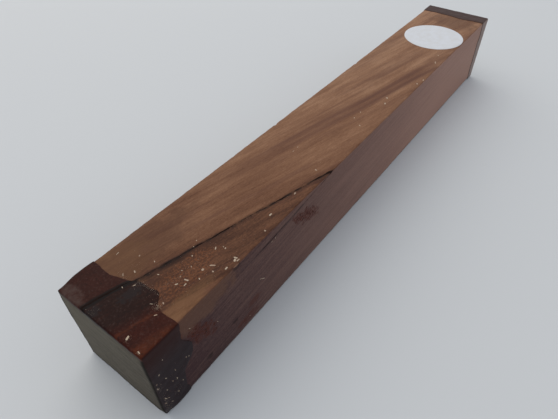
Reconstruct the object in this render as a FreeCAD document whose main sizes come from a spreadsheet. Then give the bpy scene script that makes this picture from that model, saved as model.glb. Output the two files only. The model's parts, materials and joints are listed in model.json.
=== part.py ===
import FreeCAD, Part
import math
import os
import Sketcher

# Square turning blank of sawn hardwood, lying on one long face.
# +X runs along the grain, from the near end to the far end, and +Z is up.
# The origin is under the middle of the blank, on the surface that it lies on.
# Every size is in millimetres.

SIZES = [
    ("blank_length", 293, "sawn length along the grain"),
    ("section_width", 40, "sawn width"),
    ("section_height", 40, "sawn height"),
    ("edge_wear", 0.6, "rounding that handling gave to every sawn edge"),
    ("knock_top_left", 1.8, "leg of the knocked corner at the near end, top left"),
    ("knock_top_right", 1.0, "leg of the knocked corner at the near end, top right"),
    ("knock_bottom_right", 2.0, "leg of the knocked corner at the near end, bottom right"),
    ("shake_start", 6.9, "where the shake crosses the near end's top edge, left of the middle"),
    ("shake_runout", 105.5, "where the shake leaves the top, over the right edge, from the near end"),
    ("shake_drop", 10.5, "how far below the top the shake's layer meets the right face at the near end"),
    ("shake_top_gape", 1.0, "opening of the shake on the top"),
    ("shake_top_depth", 3.6, "how far the shake reaches in under the top, along its layer"),
    ("shake_right_gape", 0.3, "opening of the shake on the right face"),
    ("shake_right_depth", 3.0, "how far the shake reaches in from the right face"),
    ("shake_fade", 44, "where the shake closes up on the right face, from the near end"),
    ("wax_film", 0.4, "thickness of the sealing wax"),
    ("near_dip", 12.5, "mean reach of the wax along the sides at the near end"),
    ("near_lean", 2.6, "how much further it reaches at the top than underneath"),
    ("near_skew", 1.3, "how much further it reaches at the left than at the right"),
    ("near_top_rise", 4.3, "run of the wax past its waterline on the top"),
    ("near_top_shift", -2.5, "place of that run across the top"),
    ("near_right_rise", 3.7, "run of the wax on the right face"),
    ("near_right_shift", 3.5, "height of that run above the middle"),
    ("near_bottom_rise", 2.4, "run of the wax underneath"),
    ("near_bottom_shift", 5, "place of that run across the bottom"),
    ("near_left_rise", 3.1, "run of the wax on the left face"),
    ("near_left_shift", -4, "height of that run above the middle"),
    ("far_dip", 7.6, "mean reach of the wax along the sides at the far end"),
    ("far_lean", 4.2, "how much further it reaches at the top than underneath"),
    ("far_skew", 0.6, "how much further it reaches at the left than at the right"),
    ("far_top_rise", 1.3, "run of the wax past its waterline on the top"),
    ("far_top_shift", -6, "place of that run across the top"),
    ("far_right_rise", 0.9, "run of the wax on the right face"),
    ("far_right_shift", 5, "height of that run above the middle"),
    ("far_bottom_rise", 1.4, "run of the wax underneath"),
    ("far_bottom_shift", -4, "place of that run across the bottom"),
    ("far_left_rise", 1.1, "run of the wax on the left face"),
    ("far_left_shift", 3, "height of that run above the middle"),
    ("label_diameter", 34.5, "round paper label"),
    ("label_thickness", 0.15, "thickness of the label's paper"),
    ("label_inset", 47, "middle of the label from the far end"),
    ("label_shift", -2.2, "middle of the label from the middle of the top"),
    ("cut_overrun", 1, "how far a cutting outline stands clear of what it cuts"),
]

HALF_LENGTH = "Sizes.blank_length / 2"
HALF_WIDTH = "Sizes.section_width / 2"
HALF_HEIGHT = "Sizes.section_height / 2"

# The near end is at -X and the far end at +X.
END_SIGNS = {"near": -1, "far": 1}

doc = FreeCAD.newDocument("TurningBlank")
sheet = doc.addObject("Spreadsheet::Sheet", "Sizes")
for row, (alias, number, meaning) in enumerate(SIZES, start=1):
    sheet.set(f"A{row}", alias)
    sheet.set(f"B{row}", str(number))
    sheet.setAlias(f"B{row}", alias)
    sheet.set(f"C{row}", meaning)
doc.recompute()


def measure(expression):
    """Return the present value of an expression on the sheet's sizes."""
    return float(sheet.evalExpression(expression))


def new_body(label):
    """Start a body whose own origin is in the middle of the blank's section."""
    body = doc.addObject("PartDesign::Body", label)
    body.Label = label
    body.setExpression(".Placement.Base.z", f"Sizes.wax_film + {HALF_HEIGHT}")
    return body


def new_sketch(body, name, role, offset="0"):
    """Put an empty sketch on one of the body's origin planes, moved along its normal."""
    sketch = body.newObject("Sketcher::SketchObject", name)
    plane = next(item for item in body.Origin.OriginFeatures if item.Role == role)
    sketch.AttachmentSupport = [(plane, "")]
    sketch.MapMode = "FlatFace"
    sketch.setExpression(".AttachmentOffset.Base.z", offset)
    return sketch


def fix_point(sketch, geometry, vertex, across, up):
    """Tie one vertex of a sketch to two expressions, measured from the sketch's origin."""
    for kind, expression in (("DistanceX", across), ("DistanceY", up)):
        number = measure(expression)
        index = sketch.addConstraint(
            Sketcher.Constraint(kind, -1, 1, geometry, vertex, number))
        sketch.setExpression(f"Constraints[{index}]", expression)


def add_polygon(sketch, corners):
    """Draw a closed outline of straight lines through corners given as expressions."""
    points = [FreeCAD.Vector(measure(across), measure(up), 0) for across, up in corners]
    count = len(points)
    for number in range(count):
        sketch.addGeometry(Part.LineSegment(points[number], points[(number + 1) % count]))
    for number, (across, up) in enumerate(corners):
        sketch.addConstraint(
            Sketcher.Constraint("Coincident", number, 1, (number - 1) % count, 2))
        fix_point(sketch, number, 1, across, up)


def add_section(sketch, grow="0"):
    """Draw the blank's rectangular section, grown all round."""
    width = f"({HALF_WIDTH} + {grow})"
    height = f"({HALF_HEIGHT} + {grow})"
    add_polygon(sketch, [
        (f"-{width}", f"-{height}"),
        (width, f"-{height}"),
        (width, height),
        (f"-{width}", height),
    ])


def add_circle(sketch, radius):
    """Draw a circle about the sketch's origin."""
    circle = Part.Circle(FreeCAD.Vector(), FreeCAD.Vector(0, 0, 1), measure(radius))
    sketch.addGeometry(circle)
    sketch.addConstraint(Sketcher.Constraint("Coincident", 0, 3, -1, 1))
    index = sketch.addConstraint(Sketcher.Constraint("Radius", 0, measure(radius)))
    sketch.setExpression(f"Constraints[{index}]", radius)


def add_pad(body, name, sketch, length, side="One side", backwards=False):
    """Extrude a sketch into solid stock."""
    pad = body.newObject("PartDesign::Pad", name)
    pad.Profile = sketch
    pad.SideType = side
    pad.Reversed = backwards
    pad.setExpression("Length", length)
    return pad


def add_pocket(body, name, sketch, length, outwards=False):
    """Cut a sketch's outline out of the body, to a stated depth."""
    doc.recompute()
    before = body.Shape.Volume
    pocket = body.newObject("PartDesign::Pocket", name)
    pocket.Profile = sketch
    pocket.Reversed = outwards
    pocket.setExpression("Length", length)
    doc.recompute()
    if body.Shape.Volume >= before:
        raise RuntimeError(f"{name} cuts nothing")


def round_all_edges(body, name, solid, radius):
    """Round every edge of the sawn or dipped block alike."""
    doc.recompute()
    fillet = body.newObject("PartDesign::Fillet", name)
    fillet.Base = (solid, ["Edge1"])
    fillet.UseAllEdges = True
    fillet.setExpression("Radius", radius)
    return fillet


# Knocked corners: each is cut by a plane square to the corner's diagonal.
# The wax that covers such a corner is cut by the same plane, one film further out.
KNOCKED_CORNERS = [
    ("top_left", 1, 1),
    ("top_right", -1, 1),
    ("bottom_right", -1, -1),
]


def knock_corners(body, film="0"):
    for corner, across, up in KNOCKED_CORNERS:
        leg = f"Sizes.knock_{corner}"
        inset = f"{leg} / 3 - {film} / sqrt(3)"
        diagonal = FreeCAD.Vector(END_SIGNS["near"], across, up)
        sketch = new_sketch(body, f"{body.Name}_knock_{corner}", "XY_Plane")
        sketch.AttachmentOffset = FreeCAD.Placement(
            FreeCAD.Vector(), FreeCAD.Rotation(FreeCAD.Vector(0, 0, 1), diagonal))
        sketch.setExpression(".AttachmentOffset.Base.x", f"-({HALF_LENGTH} - ({inset}))")
        sketch.setExpression(".AttachmentOffset.Base.y", f"{across} * ({HALF_WIDTH} - ({inset}))")
        sketch.setExpression(".AttachmentOffset.Base.z", f"{up} * ({HALF_HEIGHT} - ({inset}))")
        span = f"{leg} + 2 * Sizes.wax_film"
        add_circle(sketch, span)
        add_pocket(body, f"{body.Name}_knocked_{corner}", sketch, span, outwards=True)


# The shake follows one flat growth layer, which cuts a long thin sliver off the
# near end's top right corner. The layer meets the top in a slanting line and the
# right face in a flatter one, and both lines meet on the right edge at the runout.
# It is open along both lines, as a V with its tip in the layer.
LAYER_RUN = f"(Sizes.shake_start + {HALF_WIDTH})"
LAYER_LENGTH = f"sqrt({LAYER_RUN} ^ 2 + Sizes.shake_drop ^ 2)"
LAYER_ACROSS = f"({LAYER_RUN} / {LAYER_LENGTH})"
LAYER_DOWN = f"(Sizes.shake_drop / {LAYER_LENGTH})"


def open_shake(body, name, from_end, opening, direction, length):
    """Cut a V-shaped shake from a section across the blank, along a slanting line."""
    sketch = new_sketch(body, f"{name}_section", "YZ_Plane", f"{from_end} - {HALF_LENGTH}")
    add_polygon(sketch, opening)
    doc.recompute()
    before = body.Shape.Volume
    pocket = body.newObject("PartDesign::Pocket", name)
    pocket.Profile = sketch
    pocket.UseCustomVector = True
    for axis, component in zip("xyz", direction):
        pocket.setExpression(f".Direction.{axis}", component)
    pocket.AlongSketchNormal = True
    pocket.setExpression("Length", length)
    doc.recompute()
    if body.Shape.Volume >= before:
        raise RuntimeError(f"{name} cuts nothing")


def split_shake(body):
    middle = "Sizes.shake_start"
    over = f"{HALF_HEIGHT} + Sizes.cut_overrun"
    depth = "Sizes.shake_top_depth"
    open_shake(
        body, "shake_on_top", "0",
        [
            (f"{middle} - {depth} * {LAYER_ACROSS}", f"{HALF_HEIGHT} - {depth} * {LAYER_DOWN}"),
            (f"{middle} + Sizes.shake_top_gape / 2", HALF_HEIGHT),
            (f"{middle} + Sizes.shake_top_gape / 2", over),
            (f"{middle} - Sizes.shake_top_gape / 2", over),
            (f"{middle} - Sizes.shake_top_gape / 2", HALF_HEIGHT),
        ],
        ("Sizes.shake_runout", f"-{LAYER_RUN}", "0"),
        f"Sizes.shake_runout * (1 + Sizes.shake_top_gape / {LAYER_RUN})")
    height = f"({HALF_HEIGHT} - Sizes.shake_drop * (1 - Sizes.shake_fade / Sizes.shake_runout))"
    over = f"-({HALF_WIDTH} + Sizes.cut_overrun)"
    depth = "Sizes.shake_right_depth"
    open_shake(
        body, "shake_on_right", "Sizes.shake_fade",
        [
            (f"{depth} * {LAYER_ACROSS} - {HALF_WIDTH}", f"{height} + {depth} * {LAYER_DOWN}"),
            (f"-{HALF_WIDTH}", f"{height} + Sizes.shake_right_gape / 2"),
            (over, f"{height} + Sizes.shake_right_gape / 2"),
            (over, f"{height} - Sizes.shake_right_gape / 2"),
            (f"-{HALF_WIDTH}", f"{height} - Sizes.shake_right_gape / 2"),
        ],
        ("Sizes.shake_runout", "0", "Sizes.shake_drop"),
        "Sizes.shake_runout - Sizes.shake_fade")


# The wood: one sawn stick.
def make_blank():
    body = new_body("blank")
    section = new_sketch(body, "sawn_section", "YZ_Plane")
    add_section(section)
    stick = add_pad(body, "sawn_stick", section, "Sizes.blank_length", side="Symmetric")
    round_all_edges(body, "worn_edges", stick, "Sizes.edge_wear")
    knock_corners(body)
    split_shake(body)
    return body


# The wax at an end: a block one film larger than the stick all round, trimmed on
# each side to the wavy edge where the wax stopped, with the stick then taken out
# of it. The wax fills the open shake as far as it reaches along the top.
# Each side is given by its plane, the sign of its place along that plane's normal,
# the half sizes along and across that normal, and how deep the trimming goes. On the
# top it goes below the open shake, so that no wax is left in there past the edge.
TRIM_DEPTH = "Sizes.wax_film + Sizes.edge_wear"
SIDES = [
    ("top", "XY_Plane", 1, HALF_HEIGHT, HALF_WIDTH,
     f"{TRIM_DEPTH} + Sizes.shake_top_depth * {LAYER_DOWN}"),
    ("bottom", "XY_Plane", -1, HALF_HEIGHT, HALF_WIDTH, TRIM_DEPTH),
    ("right", "XZ_Plane", 1, HALF_WIDTH, HALF_HEIGHT, TRIM_DEPTH),
    ("left", "XZ_Plane", -1, HALF_WIDTH, HALF_HEIGHT, TRIM_DEPTH),
]


def edge_reach(end, left, top):
    """Reach of the wax on one long edge, from the signs of its left and its top."""
    return f"(Sizes.{end}_dip + {left} * Sizes.{end}_skew / 2 + {top} * Sizes.{end}_lean / 2)"


def side_reaches(end, side):
    """Reach on the lower or right edge of a side, then on its upper or left edge."""
    if side == "top":
        return edge_reach(end, -1, 1), edge_reach(end, 1, 1)
    if side == "bottom":
        return edge_reach(end, -1, -1), edge_reach(end, 1, -1)
    if side == "right":
        return edge_reach(end, -1, -1), edge_reach(end, -1, 1)
    return edge_reach(end, 1, -1), edge_reach(end, 1, 1)


def add_level_arc(sketch, level, other):
    """Draw an arc that starts level across the side at one point and ends at another.

    The points are pairs of expressions. The number of the arc is returned, with its
    vertex at the level point and its vertex at the other one.
    """
    level_point = FreeCAD.Vector(measure(level[0]), measure(level[1]), 0)
    other_point = FreeCAD.Vector(measure(other[0]), measure(other[1]), 0)
    step = other_point - level_point
    bulge = (step.x ** 2 + step.y ** 2) / (2 * step.x)
    centre = level_point + FreeCAD.Vector(bulge, 0, 0)
    level_angle = math.atan2(level_point.y - centre.y, level_point.x - centre.x)
    other_angle = math.atan2(other_point.y - centre.y, other_point.x - centre.x)
    turn = math.remainder(other_angle - level_angle, 2 * math.pi)
    circle = Part.Circle(centre, FreeCAD.Vector(0, 0, 1), abs(bulge))
    if turn > 0:
        arc = Part.ArcOfCircle(circle, level_angle, level_angle + turn)
        level_vertex, other_vertex = 1, 2
    else:
        arc = Part.ArcOfCircle(circle, level_angle + turn, level_angle)
        level_vertex, other_vertex = 2, 1
    number = sketch.addGeometry(arc)
    sketch.addConstraint(
        Sketcher.Constraint("Horizontal", number, 3, number, level_vertex))
    return number, level_vertex, other_vertex


def trim_side(body, end, side, role, place_sign, depth_half, across_half, trim_depth):
    """Cut the wax away past its wavy edge on one side."""
    inwards = -END_SIGNS[end]
    low_reach, high_reach = side_reaches(end, side)
    crest_reach = f"(max({low_reach}; {high_reach}) + Sizes.{end}_{side}_rise)"
    margin = f"({across_half} + Sizes.wax_film + Sizes.cut_overrun)"
    shift = f"Sizes.{end}_{side}_shift"

    def place(reach):
        return f"{inwards} * ({reach} - {HALF_LENGTH})"

    low = (place(low_reach), f"-{margin}")
    crest = (place(crest_reach), shift)
    high = (place(high_reach), margin)
    low_shoulder = (place(f"({low_reach} + {crest_reach}) / 2"), f"({shift} - {margin}) / 2")
    high_shoulder = (place(f"({high_reach} + {crest_reach}) / 2"), f"({shift} + {margin}) / 2")
    past_block = place(f"({longest_reach(end)} + Sizes.cut_overrun)")

    offset = f"{place_sign} * ({depth_half} + Sizes.wax_film)"
    sketch = new_sketch(body, f"{end}_{side}_wax_edge", role, offset)
    arcs = [
        (low, low_shoulder),
        (crest, low_shoulder),
        (crest, high_shoulder),
        (high, high_shoulder),
    ]
    drawn = [add_level_arc(sketch, level, shoulder) for level, shoulder in arcs]
    joints = [
        (drawn[0][0], drawn[0][2], drawn[1][0], drawn[1][2]),
        (drawn[1][0], drawn[1][1], drawn[2][0], drawn[2][1]),
        (drawn[2][0], drawn[2][2], drawn[3][0], drawn[3][2]),
    ]
    for first, first_vertex, second, second_vertex in joints:
        sketch.addConstraint(Sketcher.Constraint(
            "Coincident", first, first_vertex, second, second_vertex))
    fix_point(sketch, drawn[0][0], drawn[0][1], *low)
    fix_point(sketch, drawn[0][0], drawn[0][2], *low_shoulder)
    fix_point(sketch, drawn[1][0], drawn[1][1], *crest)
    fix_point(sketch, drawn[3][0], drawn[3][2], *high_shoulder)
    fix_point(sketch, drawn[3][0], drawn[3][1], *high)

    outer = [low, (past_block, low[1]), (past_block, high[1]), high]
    points = [FreeCAD.Vector(measure(across), measure(up), 0) for across, up in outer]
    lines = [sketch.addGeometry(Part.LineSegment(points[number], points[number + 1]))
             for number in range(3)]
    sketch.addConstraint(Sketcher.Constraint("Coincident", lines[0], 1, drawn[0][0], drawn[0][1]))
    sketch.addConstraint(Sketcher.Constraint("Coincident", lines[0], 2, lines[1], 1))
    sketch.addConstraint(Sketcher.Constraint("Coincident", lines[1], 2, lines[2], 1))
    sketch.addConstraint(Sketcher.Constraint("Coincident", lines[2], 2, drawn[3][0], drawn[3][1]))
    fix_point(sketch, lines[1], 1, *outer[1])
    fix_point(sketch, lines[1], 2, *outer[2])

    add_pocket(body, f"{end}_{side}_trim", sketch, trim_depth, outwards=place_sign < 0)


def longest_reach(end):
    """Reach that no part of the wax goes past on any side."""
    rises = "; ".join(f"Sizes.{end}_{side[0]}_rise" for side in SIDES)
    waterline = f"Sizes.{end}_dip + abs(Sizes.{end}_lean) / 2 + abs(Sizes.{end}_skew) / 2"
    return f"({waterline} + max({rises}) + Sizes.cut_overrun)"


def make_wax_seal(end, blank):
    """Dip one end: the wax is what the block holds outside the stick."""
    body = new_body(f"wax_dip_{end}")
    sign = END_SIGNS[end]
    section = new_sketch(
        body, f"{end}_dip_section", "YZ_Plane", f"{sign} * ({HALF_LENGTH} + Sizes.wax_film)")
    add_section(section, "Sizes.wax_film")
    block = add_pad(body, f"{end}_dip_block", section,
                    f"Sizes.wax_film + {longest_reach(end)}",
                    backwards=sign > 0)
    round_all_edges(body, f"{end}_dip_edges", block, "Sizes.edge_wear + Sizes.wax_film")
    for side, role, place_sign, depth_half, across_half, trim_depth in SIDES:
        trim_side(body, end, side, role, place_sign, depth_half, across_half, trim_depth)
    if end == "near":
        knock_corners(body, "Sizes.wax_film")
    seal = doc.addObject("Part::Cut", f"wax_seal_{end}")
    seal.Label = f"wax_seal_{end}"
    seal.Base = body
    seal.Tool = blank
    return seal


# The label: a bare disc of white paper, stuck flat on the top near the far end.
def make_label():
    body = new_body("label")
    sketch = new_sketch(body, "label_outline", "XY_Plane")
    add_circle(sketch, "Sizes.label_diameter / 2")
    add_pad(body, "label_paper", sketch, "Sizes.label_thickness")
    body.setExpression(".Placement.Base.x", f"{HALF_LENGTH} - Sizes.label_inset")
    body.setExpression(".Placement.Base.y", "Sizes.label_shift")
    body.setExpression(".Placement.Base.z", "Sizes.wax_film + Sizes.section_height")
    return body


blank = make_blank()
pieces = [
    blank,
    make_wax_seal("near", blank),
    make_wax_seal("far", blank),
    make_label(),
]
doc.recompute()

for item in doc.Objects:
    if "Invalid" in item.State or "Error" in item.State:
        raise RuntimeError(f"{item.Name} failed: {item.State}")
for piece in pieces:
    if piece.Shape.isNull() or not piece.Shape.isValid():
        raise RuntimeError(f"{piece.Label} has no valid shape")
    if len(piece.Shape.Solids) != 1:
        raise RuntimeError(f"{piece.Label} is not one solid")

os.makedirs("parts", exist_ok=True)
for piece in pieces:
    piece.Shape.exportStep(f"parts/{piece.Label}.step")
    box = piece.Shape.BoundBox
    print(piece.Label, round(piece.Shape.Volume, 2), "mm3",
          [round(number, 3) for number in
           (box.XMin, box.YMin, box.ZMin, box.XMax, box.YMax, box.ZMax)])
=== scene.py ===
"""A turning blank of dark hardwood: the sawn stick with its shake, the sealing wax on both ends,
the bare paper label, and the slivers and sawdust that cling to it."""

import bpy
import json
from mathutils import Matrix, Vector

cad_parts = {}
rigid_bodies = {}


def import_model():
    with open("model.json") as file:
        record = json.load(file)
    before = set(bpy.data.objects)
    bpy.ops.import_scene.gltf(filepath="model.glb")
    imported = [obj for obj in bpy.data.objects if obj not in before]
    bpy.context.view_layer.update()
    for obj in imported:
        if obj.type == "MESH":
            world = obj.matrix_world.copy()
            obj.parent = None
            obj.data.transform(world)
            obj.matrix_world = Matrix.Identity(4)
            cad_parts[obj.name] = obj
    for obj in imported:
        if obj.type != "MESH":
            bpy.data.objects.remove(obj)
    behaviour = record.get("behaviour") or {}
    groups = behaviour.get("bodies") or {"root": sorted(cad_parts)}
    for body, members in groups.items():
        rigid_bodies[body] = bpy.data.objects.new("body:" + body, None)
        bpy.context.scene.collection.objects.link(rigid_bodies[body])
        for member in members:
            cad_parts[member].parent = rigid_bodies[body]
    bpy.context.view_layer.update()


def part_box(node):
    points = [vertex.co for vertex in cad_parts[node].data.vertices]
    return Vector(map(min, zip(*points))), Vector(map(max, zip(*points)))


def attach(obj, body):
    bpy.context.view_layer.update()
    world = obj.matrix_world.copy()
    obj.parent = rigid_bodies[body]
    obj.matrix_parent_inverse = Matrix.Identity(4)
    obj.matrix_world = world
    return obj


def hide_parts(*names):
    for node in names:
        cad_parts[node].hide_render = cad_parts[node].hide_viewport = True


bl_info = {
    "name": "Turning Blank",
    "version": (1, 0, 0),
    "blender": (4, 5, 0),
    "location": "3D View > Sidebar > Blank",
    "description": "Models a waxed hardwood turning blank and the stage that it lies on",
    "category": "Object",
}

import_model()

import json
import math
import random

import bmesh
import bpy
from mathutils import Euler, Matrix, Vector, noise

# The frame. +X runs from the near end to the far end, +Z is up, and the right face looks along -Y.
# Places on the wood are given in millimetres: along from the near end, across from the middle,
# and up from the wood's underside.

MM = 0.001
WOOD_LOW, WOOD_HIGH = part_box("blank")
BODY = "root"


def on_wood(along, across, up):
    """The point at a place on the wood, in metres."""
    return Vector((WOOD_LOW.x + along * MM, across * MM, WOOD_LOW.z + up * MM))


HALF_WIDTH = (WOOD_HIGH.y - WOOD_LOW.y) / MM / 2
WOOD_HEIGHT = (WOOD_HIGH.z - WOOD_LOW.z) / MM

# The growth layers dip to the right and towards the near end. They cross the top as slanting
# bands that fan out a little, and the sides as lines that are nearly lengthwise.
LAYER_SLANT = 0.2644
LAYER_FAN = 0.00192
LAYER_DIP = 2.56

# How pale each growth layer is, from 0 to 1, by its place in millimetres across the top, counted
# from the middle of the near end. The same run of layers comes back, mirrored, further down.
LAYER_TONES = (
    (-20, 0.56), (-14, 0.56), (-9.6, 0.46), (-8.5, 0.24), (-6, 0.26), (-2, 0.24), (4, 0.17),
    (6, 0.13), (8, 0.36), (14, 0.5), (18, 0.58), (22, 0.47), (24, 0.58), (28, 0.48), (34, 0.66),
    (42, 0.68), (45.5, 0.76), (49, 0.7), (51.5, 0.78), (56, 0.73), (62, 0.81), (72, 0.87),
)
LAYER_FIRST = LAYER_TONES[0][0]
LAYER_SPAN = LAYER_TONES[-1][0] - LAYER_FIRST

# The shake is a split between two growth layers. It shows as a slanting line on the top, from this
# far left of the middle at the near end to the right arris this far along. It shows again below
# that arris, where it drops this far by the near end and can be seen from this far along on.
SHAKE_START = 6.9
SHAKE_RUNOUT = 105.5
SHAKE_DROP = 10.5
SHAKE_FADE = 46
SHAKE_SLOPE = (SHAKE_START + HALF_WIDTH) / SHAKE_RUNOUT
SHAKE_DIP = (SHAKE_START + HALF_WIDTH) / SHAKE_DROP
SHAKE_ROOT = on_wood(0, SHAKE_START, WOOD_HEIGHT)
SHAKE_TIP = on_wood(SHAKE_RUNOUT, -HALF_WIDTH, WOOD_HEIGHT)
SHAKE_NORMAL = (
    (SHAKE_TIP - SHAKE_ROOT)
    .cross(on_wood(0, -HALF_WIDTH, WOOD_HEIGHT - SHAKE_DROP) - SHAKE_ROOT)
    .normalized()
)

# Where the shake gapes on the top and on the right face: place along the wood, and half the
# length of the gap.
WIDE_ON_TOP = ((4, 11), (39.5, 2.5), (49, 5), (75, 3), (94, 1.6), (102, 5))
WIDE_ON_RIGHT = ((59, 6), (98, 5))

# The blade that cuts the shake: how far it sticks out of the wood, how thin its deep edge is, how
# finely it is divided, and the waves that lead the split astray, by length and height. Then what
# makes it gape: the spots' weight, and the size, row of noise and weight of what makes it uneven.
BLADE_CLEAR = 2.6 * MM
BLADE_TAPER = 0.3
BLADE_CUTS = (15, 15)
BLADE_WAVES = ((1.1, 0.12), (3.5, 0.2), (16, 0.3))
GAPE_AT_SPOTS = 0.75
GAPE_LUMPS = ((2.4, 0, 0.55), (0.7, 5, 0.35))

# The saw's waves: how long, wide and high their lumps are.
SAW_LUMP = (55 * MM, 16 * MM, 16 * MM)

# The left top arris bows in most at this place along, and the bow fades this far from the arris.
BOW_CREST = 150
BOW_BAND = 3

# How finely the wood is divided across and along, the least lengths of the edges that are divided
# then, and how many segments go round an arris.
FACE_CUTS = 48
FACE_EDGE = 30 * MM
STICK_CUTS = (17, 17)
STICK_EDGE = 200 * MM
ARRIS_SEGMENTS = 3

# The fraying of the arrises: how far in it fades out, how strong it is at the very edge, and how
# long, wide and high its lumps are.
FRAY_BAND = 1.2 * MM
FRAY_PEAK = 1.25
FRAY_LUMP = (3.2 * MM, 0.9 * MM, 0.9 * MM)

# Runs of the near wax along each face: where they are, how wide their front is, how far the wax
# ran on or fell short, and how far round that it drew the edge along.
NEAR_RUNS = (
    ("top", -2.0, 9, 1.8, 8.5),
    ("top", -3.2, 6.5, 1.9, 5.0),
    ("top", -7.4, 2.5, 0.7, 2.6),
    ("top", -14.6, 3, -0.3, 3.0),
    ("top", 12.5, 3, -0.4, 3.2),
    ("right", 23.4, 3.5, 3.9, 8.0),
    ("right", 10, 9, -1.5, 5.0),
    ("bottom", 6, 5, 2.4, 7.0),
    ("bottom", -9, 4, -0.9, 5.0),
    ("left", 16, 4, 2.9, 7.0),
    ("left", 31, 3, -0.8, 4.0),
)
FAR_RUNS = (
    ("top", -6, 6, 0.9, 4.5),
    ("top", 11, 4, -0.4, 4.0),
    ("right", 25, 5, 0.8, 4.5),
    ("bottom", -4, 5, 1.2, 4.5),
    ("left", 23, 5, 0.9, 4.5),
)

# What lies further than this from the end face is at the rim of the wax, until the wax between
# the two is divided so many times.
NEAR_RIM = 3 * MM
RIM_CUTS = 17

# How the wax's rim frays: the size of the lumps, and their share of the ragged edge's depth.
WAX_FRAYS = ((4.5, 0.6), (1.3, 0.55))

# The film's thickness: most of it is even, lumps of two sizes make the rest, and it thins out at
# the very rim.
FILM_EVEN = 0.86
FILM_LUMPS = ((2.6, 0.28), (0.9, 0.1))
FILM_THINNING = 0.6

# Chips out of the arrises: how high they are as a share of their depth, how long, wide and high
# their lumps are, how rough those make them, and of each the arris, place along, length and depth.
CHIP_HEIGHT = 0.8
CHIP_LUMP = (1.2 * MM, 0.7 * MM, 0.7 * MM)
CHIP_ROUGHNESS = 0.3 * MM
ARRIS_CHIPS = (
    ("left_top", 20.5, 2.4, 0.85),
    ("left_top", 85, 2.8, 1.15),
    ("left_top", 114.5, 3.8, 1.45),
    ("left_top", 189, 4.6, 1.5),
    ("left_top", 207.5, 3.2, 1.25),
    ("left_top", 213, 2.0, 1.15),
    ("left_top", 268, 2.4, 0.9),
    ("right_top", 41, 4.2, 0.9),
    ("right_top", 71, 1.6, 0.4),
    ("right_top", 158, 2.0, 0.4),
    ("right_bottom", 63, 2.8, 0.6),
    ("right_bottom", 176, 3.4, 0.5),
    ("left_bottom", 98, 3.2, 0.6),
    ("left_bottom", 231, 2.2, 0.5),
)
ARRISES = {
    "left_top": (HALF_WIDTH, WOOD_HEIGHT),
    "right_top": (-HALF_WIDTH, WOOD_HEIGHT),
    "right_bottom": (-HALF_WIDTH, 0),
    "left_bottom": (HALF_WIDTH, 0),
}

# Corners of the near end that a knock has crushed: how far in, how far down or up, and its reach.
# What lies within the grip moves by all of it.
KNOCK_GRIP = 1.2 * MM
KNOCKED_CORNERS = (
    ("left_top", 0.15, 0.8, 7.5),
    ("right_top", 0.15, 0.15, 4.5),
    ("right_bottom", 0.35, 0.35, 4.5),
)

# Slivers and flakes that cling to the top: place along and across, length, width, and turn in
# degrees from the grain.
TOP_SLIVERS = (
    (24.7, 9.2, 0.8, 0.5, 20), (19.3, 5.2, 1.2, 0.5, 60), (21.0, 16.0, 1.5, 0.25, 5),
    (26.0, 3.2, 0.8, 0.35, 60), (41.0, -1.5, 0.7, 0.3, 30), (23.0, -1.8, 0.8, 0.4, -70),
    (23.8, -9.3, 1.3, 0.5, -30), (26.8, -10.7, 1.9, 0.6, -75), (25.3, -11.7, 1.6, 0.4, 5),
    (29.7, -13.8, 0.9, 0.4, 60), (33.0, -12.0, 1.2, 0.9, 15), (35.2, -5.2, 0.7, 0.4, 45),
    (36.2, -13.5, 2.5, 0.6, -55), (34.5, -15.3, 0.9, 0.6, 70), (38.0, -17.8, 1.5, 0.7, 10),
    (42.2, -18.0, 1.4, 0.8, 20), (43.2, -17.5, 1.8, 0.7, -75), (42.9, -18.8, 1.5, 0.5, -10),
    (42.3, -9.2, 1.6, 0.5, 35), (44.3, -12.0, 0.9, 0.5, 20), (44.4, -11.0, 0.6, 0.3, 80),
    (31.7, -8.2, 0.8, 0.3, 40), (28.7, -6.8, 0.7, 0.3, -60), (26.7, -8.2, 0.7, 0.3, 10),
    (38.4, -2.7, 0.6, 0.25, 90), (2.0, -12.0, 1.8, 0.7, 15), (0.9, -18.0, 1.3, 0.4, 80),
    (12.7, 3.3, 0.8, 0.25, 75), (16.2, 7.4, 1.8, 0.2, 50), (15.4, 0.9, 1.3, 0.3, -25),
    (12.0, -12.7, 1.3, 0.4, -30), (16.4, -11.3, 1.0, 0.4, 65), (13.9, -8.7, 1.2, 0.2, -55),
    (58.7, -18.0, 0.9, 0.7, 20), (66.3, -14.5, 1.8, 0.7, 5), (81.0, -15.2, 1.5, 0.5, 15),
    (97.7, -14.0, 1.2, 0.5, 80), (102.5, 0.7, 1.6, 0.25, 5), (106.0, 0.9, 1.2, 0.25, 20),
    (136.3, -12.7, 1.2, 0.5, 50), (140.3, -7.5, 1.3, 0.4, 20), (146.3, -7.5, 1.4, 0.3, 35),
    (160.0, -13.3, 1.8, 0.7, 25), (165.2, -11.9, 1.7, 0.8, 35), (187.0, -18.0, 1.8, 0.6, 30),
    (192.7, -19.0, 2.0, 0.5, 20), (215.0, -16.2, 3.0, 0.5, 25), (224.0, -14.3, 1.8, 0.4, 25),
)
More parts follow.
